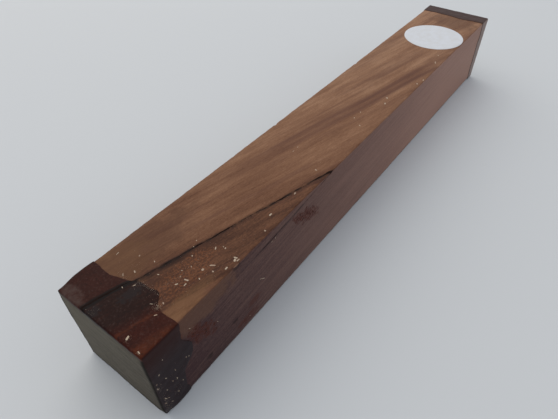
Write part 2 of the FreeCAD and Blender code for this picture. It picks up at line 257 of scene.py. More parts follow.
# Slivers and specks on the right face: place along and up, length, width and turn.
RIGHT_SLIVERS = (
    (53.5, 19.2, 5.2, 0.35, -41), (44.8, 4.7, 1.5, 0.9, -50), (18.8, 31.8, 1.4, 0.8, -60),
    (17.4, 32.5, 1.0, 0.3, -50), (60.0, 34.3, 0.9, 0.4, 20), (62.3, 34.3, 0.9, 0.5, 80),
    (2.5, 26.2, 1.4, 0.7, -20), (0.9, 22.6, 1.5, 0.6, -60), (4.4, 21.0, 1.1, 0.4, -50),
    (0.9, 19.5, 1.5, 0.7, 85), (8.3, 20.2, 1.0, 0.3, -70), (13.3, 20.8, 1.0, 0.4, 80),
    (6.2, 16.0, 1.1, 0.25, -60), (8.0, 14.9, 1.5, 0.4, 85), (3.4, 14.7, 1.2, 0.4, -75),
    (1.8, 11.0, 1.9, 0.3, -70), (1.2, 8.4, 1.6, 0.3, -65), (2.9, 9.6, 1.2, 0.25, -60),
    (6.8, 7.6, 1.7, 0.4, -65), (9.7, 10.6, 1.2, 0.35, 80), (3.6, 5.4, 1.4, 0.25, -55),
    (14.4, 20.0, 0.8, 0.3, 70), (5.4, 31.5, 0.8, 0.25, 80), (28.8, 21.6, 1.3, 0.2, -60),
)

# Spots on the right face: the colour's name, place along, depth below the top, and length.
SIDE_SPOTS = (
    ("gum", 22.7, 33.3, 2.6),
    ("gum", 37.0, 29.0, 2.2),
    ("gum", 41.0, 0.8, 2.4),
    ("torn", 48.7, 28.5, 4.5),
    ("torn", 45.5, 35.2, 5.5),
    ("torn", 40.0, 34.8, 3.0),
)

# How high a sliver's crest is, as a share of its thickness, how far that crest stands off the
# right face, where the box leaves hardly any room, and how deep a sliver is pressed into the top.
SLIVER_CREST = 0.33
RIGHT_STAND = 0.065
TOP_SINK = 0.02

# The patterns that slivers and grains are copied from: how far each sliver is bent and how wide
# its second end is left, and how flat each grain is.
SLIVER_SHAPES = ((0.05, 0.3), (0.3, 0.6), (-0.25, 0.2), (0.2, 0.9))
GRAIN_SQUASHES = (0.5, 0.7)

# Dust keeps so far from the end face and from the arrises.
END_MARGIN = 0.2
ARRIS_MARGIN = 0.6

# The label's round edge has so many points, and its face so many rings. Its edge strays in lumps
# of this size and is rounded a little, and the paper is cockled by lumps of this size and height.
LABEL_POINTS = 128
LABEL_RINGS = 9
EDGE_LUMP = 5 * MM
EDGE_ROUNDING = 0.04 * MM
PAPER_LUMP = 7 * MM
PAPER_COCKLE = 0.05 * MM

# The ways that the faces look on which dust lies.
OUTWARD = {"top": Vector((0, 0, 1)), "right": Vector((0, -1, 0))}

# Dust: the face, the middle of the patch along and across or up, its spread the same ways, the
# number of grains and their size.
SAWDUST_PATCHES = (
    ("top", 30, -8.0, 13.0, 5.4, 330, 0.24),
    ("top", 40, -16.5, 12.0, 2.4, 90, 0.26),
    ("top", 62, -11.0, 26.0, 6.0, 90, 0.20),
    ("top", 22, 6.0, 8.0, 9.0, 80, 0.20),
    ("top", 130, -12.0, 45.0, 5.0, 60, 0.18),
    ("top", 150, 2.0, 80.0, 13.0, 60, 0.15),
    ("right", 6, 15.0, 6.0, 12.0, 70, 0.20),
    ("right", 80, 28.0, 7.0, 4.0, 16, 0.16),
)
CRUST_PATCHES = (
    ("top", 14.4, -10.8, 1.9, 1.2, 130, 0.26),
    ("top", 17.6, -7.6, 0.6, 1.6, 20, 0.22),
    ("top", 17.7, -2.4, 1.0, 3.4, 80, 0.22),
    ("top", 16.3, 0.4, 1.6, 1.0, 34, 0.22),
    ("top", 15.9, 7.0, 0.9, 2.6, 40, 0.20),
    ("top", 1.8, -12.2, 1.4, 0.9, 24, 0.24),
    ("top", 0.7, -18.0, 0.4, 1.1, 18, 0.24),
    ("top", 1.2, 3.4, 1.6, 1.8, 26, 0.20),
    ("right", 1.6, 7.5, 1.6, 6.0, 120, 0.24),
    ("right", 1.0, 19.5, 1.2, 3.0, 40, 0.22),
    ("right", 7.5, 9.0, 2.6, 6.0, 40, 0.20),
)


# Settings


def linear(code):
    """Turns an sRGB hex colour into the linear colour that a shader takes."""
    shares = [int(code[place:place + 2], 16) / 255 for place in (1, 3, 5)]
    return tuple(s / 12.92 if s <= 0.04045 else ((s + 0.055) / 1.055) ** 2.4 for s in shares) + (1,)


def colour_setting(label, meaning, code):
    """A colour that the user may change."""
    return bpy.props.FloatVectorProperty(
        name=label, description=meaning, default=linear(code), size=4, min=0, max=1, subtype="COLOR"
    )


def length_setting(label, meaning, size):
    """A length that the user may change, given in millimetres and kept in metres."""
    return bpy.props.FloatProperty(
        name=label, description=meaning, default=size * MM, min=0, precision=5, unit="LENGTH"
    )


class StickSettings(bpy.types.PropertyGroup):
    """Sizes and colours of the sawn wood."""

    arris_wear: length_setting("Arris wear", "Rounding of the sawn edges", 0.5)
    saw_wave: length_setting("Saw wave", "How deep the saw's waviness goes", 0.22)
    arris_fray: length_setting("Arris fray", "How deep the sawn edges are frayed", 0.3)
    left_bow: length_setting("Left bow", "How far the left top arris bows in", 0.45)
    shake_slot: length_setting("Shake slot", "Thickness of the split where it is closed", 0.05)
    shake_gape: length_setting("Shake gape", "How much thicker the split is where it gapes", 0.26)
    shake_depth: length_setting("Shake depth", "How far the split reaches in along its layer", 3.6)
    dark: colour_setting("Dark wood", "The darkest growth layers", "#43291d")
    brown: colour_setting("Brown wood", "The brown of most of the wood", "#65432f")
    tan: colour_setting("Tan wood", "The lighter growth layers", "#7f5b43")
    pale: colour_setting("Pale wood", "The lightest streaks", "#987459")
    vein: colour_setting("Vein", "The purple vein on the top", "#54352c")
    # The two ends of a painted ramp along the sides: painted shade at the near end, painted sheen at the
    # far end. Their purple is partly a painted tint of cool light.
    side_near: colour_setting("Near side", "The dark purple of the sides at the near end", "#402a2b")
    side_far_sheen: colour_setting("Far side", "The right face where it fades at the far end", "#a07c6d")
    torn: colour_setting("Torn grain", "Red-brown patches of torn grain", "#51251a")
    dry: colour_setting("Dry wood", "Golden dry wood beside the wax and along an arris", "#7d5b3c")
    dusty: colour_setting("Dusty wood", "Red-brown dust rubbed into the grain", "#704328")
    # The gum's colour also paints the shade of the split, on its lips and on its inner faces.
    gum: colour_setting("Gum", "The black gum in and beside the shake", "#150d0b")


class WaxSettings(bpy.types.PropertyGroup):
    """Sizes and colours of the sealing wax."""

    film: length_setting("Film", "Thickness of the wax", 0.38)
    near_dip: length_setting("Near dip", "Reach of the wax at the near end", 12.9)
    near_lean: length_setting("Near lean", "How much further it reaches on the top there", 2.4)
    far_dip: length_setting("Far dip", "Reach of the wax at the far end", 8.2)
    far_lean: length_setting("Far lean", "How much further it reaches on the top there", 3.8)
    ragged: length_setting("Ragged edge", "How ragged the edge of the wax is", 0.9)
    black: colour_setting("Black wax", "Thick wax over dark wood", "#23100c")
    red: colour_setting("Red wax", "Wax over red-brown wood", "#361209")
    brown: colour_setting("Brown wax", "Wax over brown wood", "#34150e")
    amber: colour_setting("Amber wax", "Thin wax over light wood", "#4b2110")
    side: colour_setting("Side wax", "Wax on the side faces", "#2b2022")
    # The end wax's olive grey is a painted reflection of the pale floor, seen at a grazing angle.
    end: colour_setting("End wax", "The olive grey of the wax on the end grain", "#666053")
    gum: colour_setting("Gum", "The black gum of the shake under the wax", "#120c0b")
    soot: colour_setting("Soot", "The black soot on the wax", "#231f20")
    # Grey flecks, a grey patch that is partly dull bloom and partly painted sheen, and the painted sheen
    # that pales the wax towards the far end.
    bloom_and_sheen: colour_setting("Bloom", "The dull grey bloom on old wax", "#5b4d47")
    # Painted sheen on the wax of the right face at the far end.
    painted_far_sheen: colour_setting("Faded wax", "Wax on the right face at the far end", "#8a756c")


class LabelSettings(bpy.types.PropertyGroup):
    """Sizes and colours of the paper label."""

    edge_wander: length_setting("Edge wander", "How far its cut edge strays from the round", 0.08)
    paper: colour_setting("Paper", "The white of the paper", "#cfd2d6")
    soiled: colour_setting("Soiled paper", "The tint of handling and glue", "#bcb8ae")


class DustSettings(bpy.types.PropertyGroup):
    """Sizes and colours of the slivers and sawdust."""

    sliver_scale: bpy.props.FloatProperty(
        name="Sliver scale", description="How large the slivers are, 1 being their real size",
        default=1.0, min=0.1,
    )
    seed: bpy.props.IntProperty(
        name="Seed", description="Start of the random draws that scatter the dust", default=7, min=0
    )
    sapwood: colour_setting("Sapwood", "Pale slivers and dust", "#b2a08a")
    heartwood: colour_setting("Heartwood", "Red-brown dust", "#7e4c2f")


class StageSettings(bpy.types.PropertyGroup):
    """The floor, the lights and the camera."""

    floor: colour_setting("Floor", "The pale floor", "#c9cccd")
    sky: colour_setting("Sky", "The soft light from all round", "#e8edf6")
    sky_low: bpy.props.FloatProperty(
        name="Low sky", description="Strength of the soft light at the horizon", default=0.58, min=0
    )
    sky_high: bpy.props.FloatProperty(
        name="High sky", description="Strength of the soft light overhead", default=0.9, min=0
    )
    window: colour_setting("Window", "The soft light from above and behind", "#fff5e8")
    window_watts: bpy.props.FloatProperty(
        name="Window power", description="Power of the soft light", default=15.5, min=0, unit="POWER"
    )
    lens: bpy.props.FloatProperty(
        name="Lens", description="Focal length on a 36 mm frame", default=28.92, min=1, unit="CAMERA"
    )


class BlankSettings(bpy.types.PropertyGroup):
    """Everything about the blank that a user would change."""

    stick: bpy.props.PointerProperty(name="Stick", description="The sawn wood", type=StickSettings)
    wax: bpy.props.PointerProperty(name="Wax", description="The sealing wax", type=WaxSettings)
    label: bpy.props.PointerProperty(name="Label", description="The paper label", type=LabelSettings)
    dust: bpy.props.PointerProperty(name="Dust", description="Slivers and dust", type=DustSettings)
    stage: bpy.props.PointerProperty(name="Stage", description="Floor and lights", type=StageSettings)


# Modelling by hand


def deselect_all():
    """Leaves edit mode, with nothing selected."""
    if bpy.context.mode != "OBJECT":
        bpy.ops.object.mode_set(mode="OBJECT")
    bpy.ops.object.select_all(action="DESELECT")


def take(piece):
    """Selects one piece and makes it the active one."""
    deselect_all()
    piece.select_set(True)
    bpy.context.view_layer.objects.active = piece


def name_piece(name):
    """Puts the new piece's place in its mesh and names it."""
    bpy.ops.object.transform_apply(location=True, rotation=True, scale=True)
    piece = bpy.context.object
    piece.name = piece.data.name = name
    return piece


def join_pieces(name, pieces):
    """Joins several pieces into one."""
    deselect_all()
    for piece in pieces:
        piece.select_set(True)
    bpy.context.view_layer.objects.active = pieces[0]
    bpy.ops.object.join()
    return name_piece(name)


def add_block(name, low, high):
    """Adds a block between two corners."""
    deselect_all()
    bpy.ops.mesh.primitive_cube_add(size=1, location=(low + high) / 2, scale=high - low)
    return name_piece(name)


def pick(piece, kind, test):
    """In edit mode, selects the vertices, edges or faces that pass a test, and nothing else."""
    bpy.ops.object.mode_set(mode="EDIT")
    bpy.ops.mesh.select_mode(type=kind)
    bpy.ops.mesh.select_all(action="DESELECT")
    mesh = bmesh.from_edit_mesh(piece.data)
    parts = {"VERT": mesh.verts, "EDGE": mesh.edges, "FACE": mesh.faces}[kind]
    chosen = [part for part in parts if test(part)]
    if not chosen:
        raise RuntimeError(f"{piece.name} has nothing at the place that was looked for")
    for part in chosen:
        part.select_set(True)
    bmesh.update_edit_mesh(piece.data)


def lies_along(edge, axis, least):
    """Whether an edge runs along an axis and is longer than the least length."""
    span = edge.verts[1].co - edge.verts[0].co
    return abs(span[axis]) > max(least, 0.999 * span.length)


def cut_across(piece, axis, least, *cuts):
    """Cuts the edges that run along an axis into equal parts, and the faces between them."""
    for number in cuts:
        pick(piece, "EDGE", lambda edge: lies_along(edge, axis, least))
        bpy.ops.mesh.subdivide(number_cuts=number)
        least /= number + 1


def cut_faces(piece):
    """Divides the wide faces of a piece, across and upwards."""
    for axis in (1, 2):
        cut_across(piece, axis, FACE_EDGE, FACE_CUTS)


def drag(move, reach, falloff="SMOOTH"):
    """Moves what is selected, and draws the surface along within a reach."""
    bpy.ops.transform.translate(
        value=move,
        use_proportional_edit=True,
        proportional_edit_falloff=falloff,
        proportional_size=reach,
    )


def push(piece, place, grip, move, reach):
    """Drags what is within a grip of a place."""
    pick(piece, "VERT", lambda vertex: (vertex.co - place).length < grip)
    drag(move, reach)


def apply_modifier(piece, kind, **settings):
    """Adds a modifier to a piece and applies it."""
    take(piece)
    modifier = piece.modifiers.new(kind.title(), kind)
    for name, value in settings.items():
        setattr(modifier, name, value)
    bpy.ops.object.modifier_apply(modifier=modifier.name)


def ruffle(piece, lump, depth, direction="NORMAL", group="", level=1.0):
    """Moves a surface by smooth noise with lumps so long, wide and high. Level 1 only presses it in."""
    deselect_all()
    bpy.ops.object.empty_add()
    measure = bpy.context.object
    measure.scale = lump
    bpy.context.view_layer.update()
    texture = bpy.data.textures.new("ruffle", "CLOUDS")
    texture.noise_scale = 1
    apply_modifier(
        piece,
        "DISPLACE",
        texture=texture,
        texture_coords="OBJECT",
        texture_coords_object=measure,
        strength=depth,
        mid_level=level,
        direction=direction,
        vertex_group=group,
    )
    bpy.data.objects.remove(measure)
    bpy.data.textures.remove(texture)


def weigh(piece, name, weight_of):
    """Paints a vertex group with the weight that a function gives each vertex."""
    deselect_all()
    group = piece.vertex_groups.get(name) or piece.vertex_groups.new(name=name)
    for vertex in piece.data.vertices:
        group.add([vertex.index], min(max(weight_of(vertex), 0), 1), "REPLACE")


def finish_piece(piece, slot, *nodes, crease=35):
    """Shades a piece, and says what it rides on and which node it stands for. The slot, its finish, is not
    used.
    """
    take(piece)
    piece.vertex_groups.clear()
    bpy.ops.object.shade_smooth_by_angle(angle=math.radians(crease))
    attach(piece, BODY)
    if nodes:
        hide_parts(*nodes)


def arris_point(arris, along):
    """The point on an arris at a place along the wood."""
    return on_wood(along, *ARRISES[arris])


def arris_distance(point):
    """How far a point lies from the nearest arris, in metres."""
    from_side = HALF_WIDTH * MM - abs(point.y)
    from_face = min(point.z - WOOD_LOW.z, WOOD_HIGH.z - point.z)
    return math.hypot(from_side, from_face)


def knock_corners(piece):
    """Crushes the corners of the near end that took a knock."""
    for arris, crush, settle, reach in KNOCKED_CORNERS:
        across, up = ARRISES[arris]
        move = (crush, math.copysign(crush, -across), settle if up == 0 else -settle)
        push(piece, arris_point(arris, 0), KNOCK_GRIP, Vector(move) * MM, reach * MM)


def weather(piece, stick):
    """Gives the stick, or the wax that follows it, the saw's waves and the bow of its left arris."""
    weigh(
        piece,
        "bow",
        lambda vertex: max(0, 1 - ((vertex.co.x - WOOD_LOW.x) / MM / BOW_CREST - 1) ** 2)
        * max(0, 1 - (HALF_WIDTH - vertex.co.y / MM) / BOW_BAND) ** 2
        * max(0, (vertex.co.z - WOOD_LOW.z) / MM / WOOD_HEIGHT),
    )
    apply_modifier(
        piece, "DISPLACE", direction="Y", strength=-stick.left_bow, mid_level=0, vertex_group="bow"
    )
    ruffle(piece, SAW_LUMP, stick.saw_wave)


# The stick


def bump_at(place, spots):
    """1 at the middle of each spot, and less towards its edge."""
    return max(math.exp(-(((place - middle) / half) ** 4)) for middle, half in spots)


def add_shake_blade(start, end, deep_side, spots, stick):
    """A thin blade in the split layer, thicker where the split gapes, that cuts it out."""
    along = (end - start).normalized()
    into = SHAKE_NORMAL.cross(along)
    into *= math.copysign(1, into.dot(deep_side))
    span = (end - start).length
    half = stick.shake_slot / 2
    blade = add_block(
        "blade",
        Vector((-BLADE_CLEAR, -BLADE_CLEAR, -half)),
        Vector((span + BLADE_CLEAR, stick.shake_depth, half)),
    )
    pick(blade, "FACE", lambda face: face.normal.y > 0.9)
    bpy.ops.transform.resize(value=(1, 1, BLADE_TAPER))
    pick(blade, "FACE", lambda face: True)
    bpy.ops.mesh.bisect(plane_co=(0, 0, 0), plane_no=(0, 1, 0))
    cut_across(blade, 0, 0.1 * span, *BLADE_CUTS)

    def gape_at(vertex):
        """How far the split gapes at a vertex of the blade: more at the wide spots, and unevenly."""
        if vertex.co.y >= 0.1 * BLADE_CLEAR:
            return 0
        place = start.x - WOOD_LOW.x + vertex.co.x * along.x
        gape = GAPE_AT_SPOTS * bump_at(place / MM, spots)
        for lump, row, weight in GAPE_LUMPS:
            gape += weight * noise.noise(Vector((place / (lump * MM), row, 0)))
        return gape

    weigh(blade, "gape", gape_at)
    apply_modifier(
        blade, "DISPLACE", strength=stick.shake_gape / 2, mid_level=0, vertex_group="gape"
    )
    for long, high in BLADE_WAVES:
        ruffle(blade, (long * MM, 1, 1), high * MM, direction="Z", level=0.5)
    turn = Matrix((along, into, along.cross(into))).transposed()
    blade.matrix_world = Matrix.Translation(start) @ turn.to_4x4()
    take(blade)
    bpy.ops.object.transform_apply(location=True, rotation=True, scale=True)
    return blade


def cut_shake(piece, stick, with_side):
    """Cuts the split out of a piece, on the top and, if asked, on the right face."""
    fade_up = WOOD_HEIGHT - SHAKE_DROP * (1 - SHAKE_FADE / SHAKE_RUNOUT)
    fade = on_wood(SHAKE_FADE, -HALF_WIDTH, fade_up)
    blades = [add_shake_blade(SHAKE_ROOT, SHAKE_TIP, Vector((0, -1, 0)), WIDE_ON_TOP, stick)]
    if with_side:
        blades.append(add_shake_blade(fade, SHAKE_TIP, Vector((0, 1, 0)), WIDE_ON_RIGHT, stick))
    for blade in blades:
        blade.data.materials.append(bpy.data.materials["split_heartwood"])
        cut_out(piece, blade)


def cut_out(piece, cutter):
    """Cuts one closed shape out of a piece. The cut faces keep the cutter's material."""
    apply_modifier(
        piece, "BOOLEAN", operation="DIFFERENCE", object=cutter, solver="EXACT", material_mode="TRANSFER"
    )
    bpy.data.objects.remove(cutter)


def drop_loose_bits(piece):
    """Deletes what the cuts left loose, and keeps what hangs together with the far end."""
    pick(piece, "FACE", lambda face: face.calc_center_median().x > WOOD_HIGH.x - 1 * MM)
    bpy.ops.mesh.select_linked()
    bpy.ops.mesh.select_all(action="INVERT")
    bpy.ops.mesh.delete(type="VERT")
    deselect_all()


def add_chip_cutter():
    """The chips that broke out of the arrises, as one shape to cut with."""
    chips = []
    for arris, along, long, deep in ARRIS_CHIPS:
        deselect_all()
        bpy.ops.mesh.primitive_ico_sphere_add(
            subdivisions=3,
            radius=1,
            location=arris_point(arris, along),
            scale=(long / 2 * MM, deep * MM, CHIP_HEIGHT * deep * MM),
        )
        chips.append(name_piece("chip"))
    cutter = join_pieces("chips", chips)
    ruffle(cutter, CHIP_LUMP, CHIP_ROUGHNESS)
    cutter.data.materials.append(bpy.data.materials["torn_hardwood"])
    return cutter


class TURNING_BLANK_OT_add_stick(bpy.types.Operator):
    """Adds the sawn stick, with its waves, worn arrises, chips and shake"""

    bl_idname = "turning_blank.add_stick"
    bl_label = "Add Sawn Stick"
    bl_options = {"REGISTER", "UNDO"}

    def execute(self, context):
        settings = context.scene.turning_blank.stick
        make_sawn_material(settings)
        make_split_material(settings)
        make_torn_material(settings)
        stick = add_block("sawn_stick", WOOD_LOW, WOOD_HIGH)
        bpy.ops.object.mode_set(mode="EDIT")
        bpy.ops.mesh.select_all(action="SELECT")
        bpy.ops.mesh.bevel(offset=settings.arris_wear, segments=ARRIS_SEGMENTS, affect="EDGES")
        cut_across(stick, 0, STICK_EDGE, *STICK_CUTS)
        cut_faces(stick)
        knock_corners(stick)
        weather(stick, settings)
        weigh(stick, "arrises", lambda vertex: FRAY_PEAK - arris_distance(vertex.co) / FRAY_BAND)
        ruffle(stick, FRAY_LUMP, settings.arris_fray, group="arrises")
        stick.data.materials.append(bpy.data.materials["sawn_hardwood"])
        cut_out(stick, add_chip_cutter())
        cut_shake(stick, settings, with_side=True)
        drop_loose_bits(stick)
        finish_piece(stick, "wood", "blank")
        return {"FINISHED"}


# The wax


def add_wax_cup(name, end, rim, lean, runs, stick):
    """A cup of wax that a dip leaves on one end, as far as its rim, which is drawn out in runs."""
    inward = 1 if rim > end else -1
    dip = abs(rim - end)
    low, high = WOOD_LOW.copy(), WOOD_HIGH.copy()
    low.x, high.x = min(end, rim), max(end, rim)
    cup = add_block(name, low, high)
    pick(cup, "FACE", lambda face: face.normal.x * inward > 0.9)
    bpy.ops.mesh.delete(type="ONLY_FACE")
    pick(cup, "EDGE", lambda edge: not edge.is_boundary)
    bpy.ops.mesh.bevel(offset=stick.arris_wear, segments=ARRIS_SEGMENTS, affect="EDGES")
    cut_faces(cup)
    for up, share in ((WOOD_HEIGHT, 0.5), (0, -0.5)):
        pick(
            cup,
            "VERT",
            lambda vertex: abs(vertex.co.x - rim) < 0.01 * MM
            and abs(vertex.co.z - on_wood(0, 0, up).z) < 2 * MM,
        )
        drag((inward * share * lean, 0, 0), dip * 0.98, "LINEAR")
    for face, middle, front, run, reach in runs:

        def at_front(vertex):
            """Whether a vertex is on the edge of the wax, on this face, and in the run's front."""
            place, side = face_place(face, vertex.co)
            return (
                abs(vertex.co.x - end) > NEAR_RIM and side < 0.6 and abs(place - middle) <= front / 2
            )

        pick(cup, "VERT", at_front)
        drag((inward * run * MM, 0, 0), min(reach * MM, dip * 0.95))
    weigh(cup, "reach", lambda vertex: 1 if abs(vertex.co.x - end) > NEAR_RIM else 0)
    cut_across(cup, 0, NEAR_RIM, RIM_CUTS)
    return cup, inward


def face_place(face, point):
    """Where a point is along a face's edge, and how far off that face it lies, in millimetres."""
    across = point.y / MM
    up = (point.z - WOOD_LOW.z) / MM
    return {
        "top": (across, WOOD_HEIGHT - up),
        "bottom": (across, up),
        "right": (up, across + HALF_WIDTH),
        "left": (up, HALF_WIDTH - across),
    }[face]


def reach_share(vertex):
    """How far out towards the edge of the wax a vertex is, from 0 at the end face to 1."""
    return sum(group.weight for group in vertex.groups)


def finish_wax(cup, inward, settings, stick):
    """Frays the edge, follows the wood and gives the wax its uneven film."""
    deselect_all()
    shares = [reach_share(vertex) for vertex in cup.data.vertices]
    weigh(cup, "fray", lambda vertex: shares[vertex.index] ** 5)
    for lump, part in WAX_FRAYS:
        ruffle(
            cup,
            (lump * MM,) * 3,
            settings.ragged * part * inward,
            direction="X",
            group="fray",
            level=0.5,
        )
    weather(cup, stick)

    def film_at(vertex):
        """How thick the film is at a vertex, as a share."""
        film = FILM_EVEN
        for lump, weight in FILM_LUMPS:
            film += weight * noise.noise(vertex.co / (lump * MM))
        return (1 - FILM_THINNING * shares[vertex.index] ** 14) * film

    weigh(cup, "film", film_at)
    apply_modifier(
        cup,
        "SOLIDIFY",
        thickness=settings.film,
        offset=1,
        vertex_group="film",
        thickness_vertex_group=0.2,
    )
    cup.data.materials.append(bpy.data.materials["dipped_sealing_wax"])


class TURNING_BLANK_OT_add_wax(bpy.types.Operator):
    """Adds the sealing wax on both ends"""

    bl_idname = "turning_blank.add_wax"
    bl_label = "Add Sealing Wax"
    bl_options = {"REGISTER", "UNDO"}

    def execute(self, context):
        settings = context.scene.turning_blank.wax
        stick = context.scene.turning_blank.stick
        make_wax_material(settings)
        make_split_material(stick)
        rim = WOOD_LOW.x + settings.near_dip
        near, inward = add_wax_cup("near_wax", WOOD_LOW.x, rim, settings.near_lean, NEAR_RUNS, stick)
        knock_corners(near)
        finish_wax(near, inward, settings, stick)
        cut_shake(near, stick, with_side=False)
        finish_piece(near, "wax", "wax_seal_near")
        rim = WOOD_HIGH.x - settings.far_dip
        far, inward = add_wax_cup("far_wax", WOOD_HIGH.x, rim, settings.far_lean, FAR_RUNS, stick)
        finish_wax(far, inward, settings, stick)
        finish_piece(far, "wax", "wax_seal_far")
        return {"FINISHED"}


# The label


class TURNING_BLANK_OT_add_label(bpy.types.Operator):
    """Adds the round paper label"""

    bl_idname = "turning_blank.add_label"
    bl_label = "Add Paper Label"
    bl_options = {"REGISTER", "UNDO"}

    def execute(self, context):
        settings = context.scene.turning_blank.label
        stick = context.scene.turning_blank.stick
        make_paper_material(settings)
        low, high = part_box("label")
        radius = (high.x - low.x) / 2
        deselect_all()
        bpy.ops.mesh.primitive_circle_add(
            vertices=LABEL_POINTS,
            radius=radius,
            fill_type="NGON",
            location=((low.x + high.x) / 2, (low.y + high.y) / 2, high.z),
        )
        label = name_piece("paper_label")
        pick(label, "FACE", lambda face: True)
        for _ in range(LABEL_RINGS):
            bpy.ops.mesh.inset(thickness=radius / (LABEL_RINGS + 1))
        bpy.ops.object.mode_set(mode="OBJECT")
        weigh(label, "edge", lambda vertex: 1 if vertex.index < LABEL_POINTS else 0)
        ruffle(label, (EDGE_LUMP,) * 3, settings.edge_wander, "X", "edge", 0.5)
        ruffle(label, SAW_LUMP, stick.saw_wave, "Z")
        ruffle(label, (PAPER_LUMP,) * 3, PAPER_COCKLE, "Z")
        apply_modifier(label, "SOLIDIFY", thickness=high.z - low.z, offset=-1)
        apply_modifier(label, "BEVEL", width=EDGE_ROUNDING, segments=2, limit_method="ANGLE")
        label.data.materials.append(bpy.data.materials["bare_label_paper"])
        finish_piece(label, "label_paper", "label", crease=50)
        return {"FINISHED"}


# Slivers and sawdust


def add_sliver_pattern(name, bend, point):
    """One sliver a millimetre long and wide, tapered to its ends, bent and ragged, on the ground."""
    sliver = add_block(name, Vector((-0.5, -0.5, 0)) * MM, Vector((0.5, 0.5, 0.25)) * MM)
    cut_across(sliver, 0, 0.5 * MM, 5)
    cut_across(sliver, 1, 0.5 * MM, 2)
    for end, share in ((-1, 0.2), (1, point)):
        pick(sliver, "VERT", lambda vertex: vertex.co.x * end > 0.45 * MM)
        bpy.ops.transform.resize(value=(1, share, 0.5))
    push(sliver, Vector((0.1 * MM, 0, 0)), 0.4 * MM, (0, bend * MM, 0.08 * MM), 0.6 * MM)
    ruffle(sliver, (0.35 * MM,) * 3, 0.25 * MM)
    deselect_all()
    return sliver


def add_grain_pattern(name, squash):
    """One grain of sawdust, a millimetre across, lumpy and flattened."""
    deselect_all()
    bpy.ops.mesh.primitive_ico_sphere_add(subdivisions=1, radius=0.5 * MM, scale=(1, 0.7, squash))
    grain = name_piece(name)
    ruffle(grain, (0.4 * MM,) * 3, 0.4 * MM)
    return grain


def seat(place, face, carriers):
    """Where something that is brought straight on to a face comes to rest on the carriers."""
    out = OUTWARD[face]
    start = place + out * 5 * MM
    hits = [hit for hit in (carrier.ray_cast(start, -out) for carrier in carriers) if hit[0]]
    return max((hit[1] for hit in hits), key=lambda point: point.dot(out), default=None)


def place_on(face, along, other):
    """The place on a face of the wood, from its place along and its place across or up."""
    return on_wood(along, other, WOOD_HEIGHT) if face == "top" else on_wood(along, -HALF_WIDTH, other)


def lay_copies(name, patterns, seats, material):
    """Lays copies of the patterns on their seats, joins them into one piece and clears the patterns.

    A seat is a point, the face that it is on, a turn in degrees, a size, and how deep it is sunk.
    """
    copies = []
    for number, (point, face, degrees, size, sink) in enumerate(seats):
        pattern = patterns[number % len(patterns)]
        copy = bpy.data.objects.new(name, pattern.data.copy())
        bpy.context.collection.objects.link(copy)
        lie = Vector((0, 0, 1)).rotation_difference(OUTWARD[face]).to_matrix().to_4x4()
        spin = Matrix.Rotation(math.radians(degrees), 4, "Z")
        lay = Matrix.Translation(point - OUTWARD[face] * sink) @ lie @ spin
        copy.matrix_world = lay @ Matrix.Diagonal((*size, 1))
        copies.append(copy)
    piece = join_pieces(name, copies)
    for pattern in patterns:
        bpy.data.objects.remove(pattern)
    piece.data.materials.append(bpy.data.materials[material])
    finish_piece(piece, "wood")


class TURNING_BLANK_OT_add_dust(bpy.types.Operator):
    """Adds the slivers and the sawdust that cling to the wood and the wax"""

    bl_idname = "turning_blank.add_dust"
    bl_label = "Add Slivers and Dust"
    bl_options = {"REGISTER", "UNDO"}

    def execute(self, context):
        settings = context.scene.turning_blank.dust
        make_sapwood_material(settings)
        make_dust_material(settings)
        names = ("sawn_stick", "near_wax", "far_wax")
        carriers = [bpy.data.objects[name] for name in names if name in bpy.data.objects]
        if len(carriers) < len(names):
            raise RuntimeError("Add the stick and the wax before the dust that lies on them")
        context.view_layer.update()
        draw = random.Random(settings.seed)
        seats = []
        for face, slivers in (("top", TOP_SLIVERS), ("right", RIGHT_SLIVERS)):
            for along, other, long, wide, degrees in slivers:
                point = seat(place_on(face, along, other), face, carriers)
                if point is None:
                    raise RuntimeError(f"The sliver at {along} mm lies beside the wood")
                size = Vector((long, wide, math.sqrt(wide * 0.5))) * settings.sliver_scale
                sink = TOP_SINK if face == "top" else SLIVER_CREST * size.z - RIGHT_STAND
                seats.append((point, face, degrees, size, sink * MM))
        patterns = [
            add_sliver_pattern(f"sliver_{number}", bend, point)
            for number, (bend, point) in enumerate(SLIVER_SHAPES)
        ]
        lay_copies("slivers", patterns, seats, "pale_sapwood_slivers")
        for name, patches, material in (
            ("sawdust", SAWDUST_PATCHES, "fine_sawdust"),
            ("wax_crumbs", CRUST_PATCHES, "pale_sapwood_slivers"),
        ):
            seats = []
            for face, along, other, long, wide, count, size in patches:
                middle = HALF_WIDTH if face == "right" else 0
                for _ in range(count):
                    far, off = draw.gauss(along, long / 2), draw.gauss(other, wide / 2)
                    turn, scale = draw.uniform(0, 360), size * draw.uniform(0.5, 1.3)
                    stretch = draw.uniform(1, 1.8)
                    if far < END_MARGIN or abs(off - middle) > HALF_WIDTH - ARRIS_MARGIN:
                        continue
                    point = seat(place_on(face, far, off), face, carriers)
                    if point is not None:
                        seats.append((point, face, turn, (scale * stretch, scale, scale), 0))
            patterns = [
                add_grain_pattern(f"grain_{number}", squash)
                for number, squash in enumerate(GRAIN_SQUASHES)
            ]
            lay_copies(name, patterns, seats, material)
        return {"FINISHED"}


# Materials

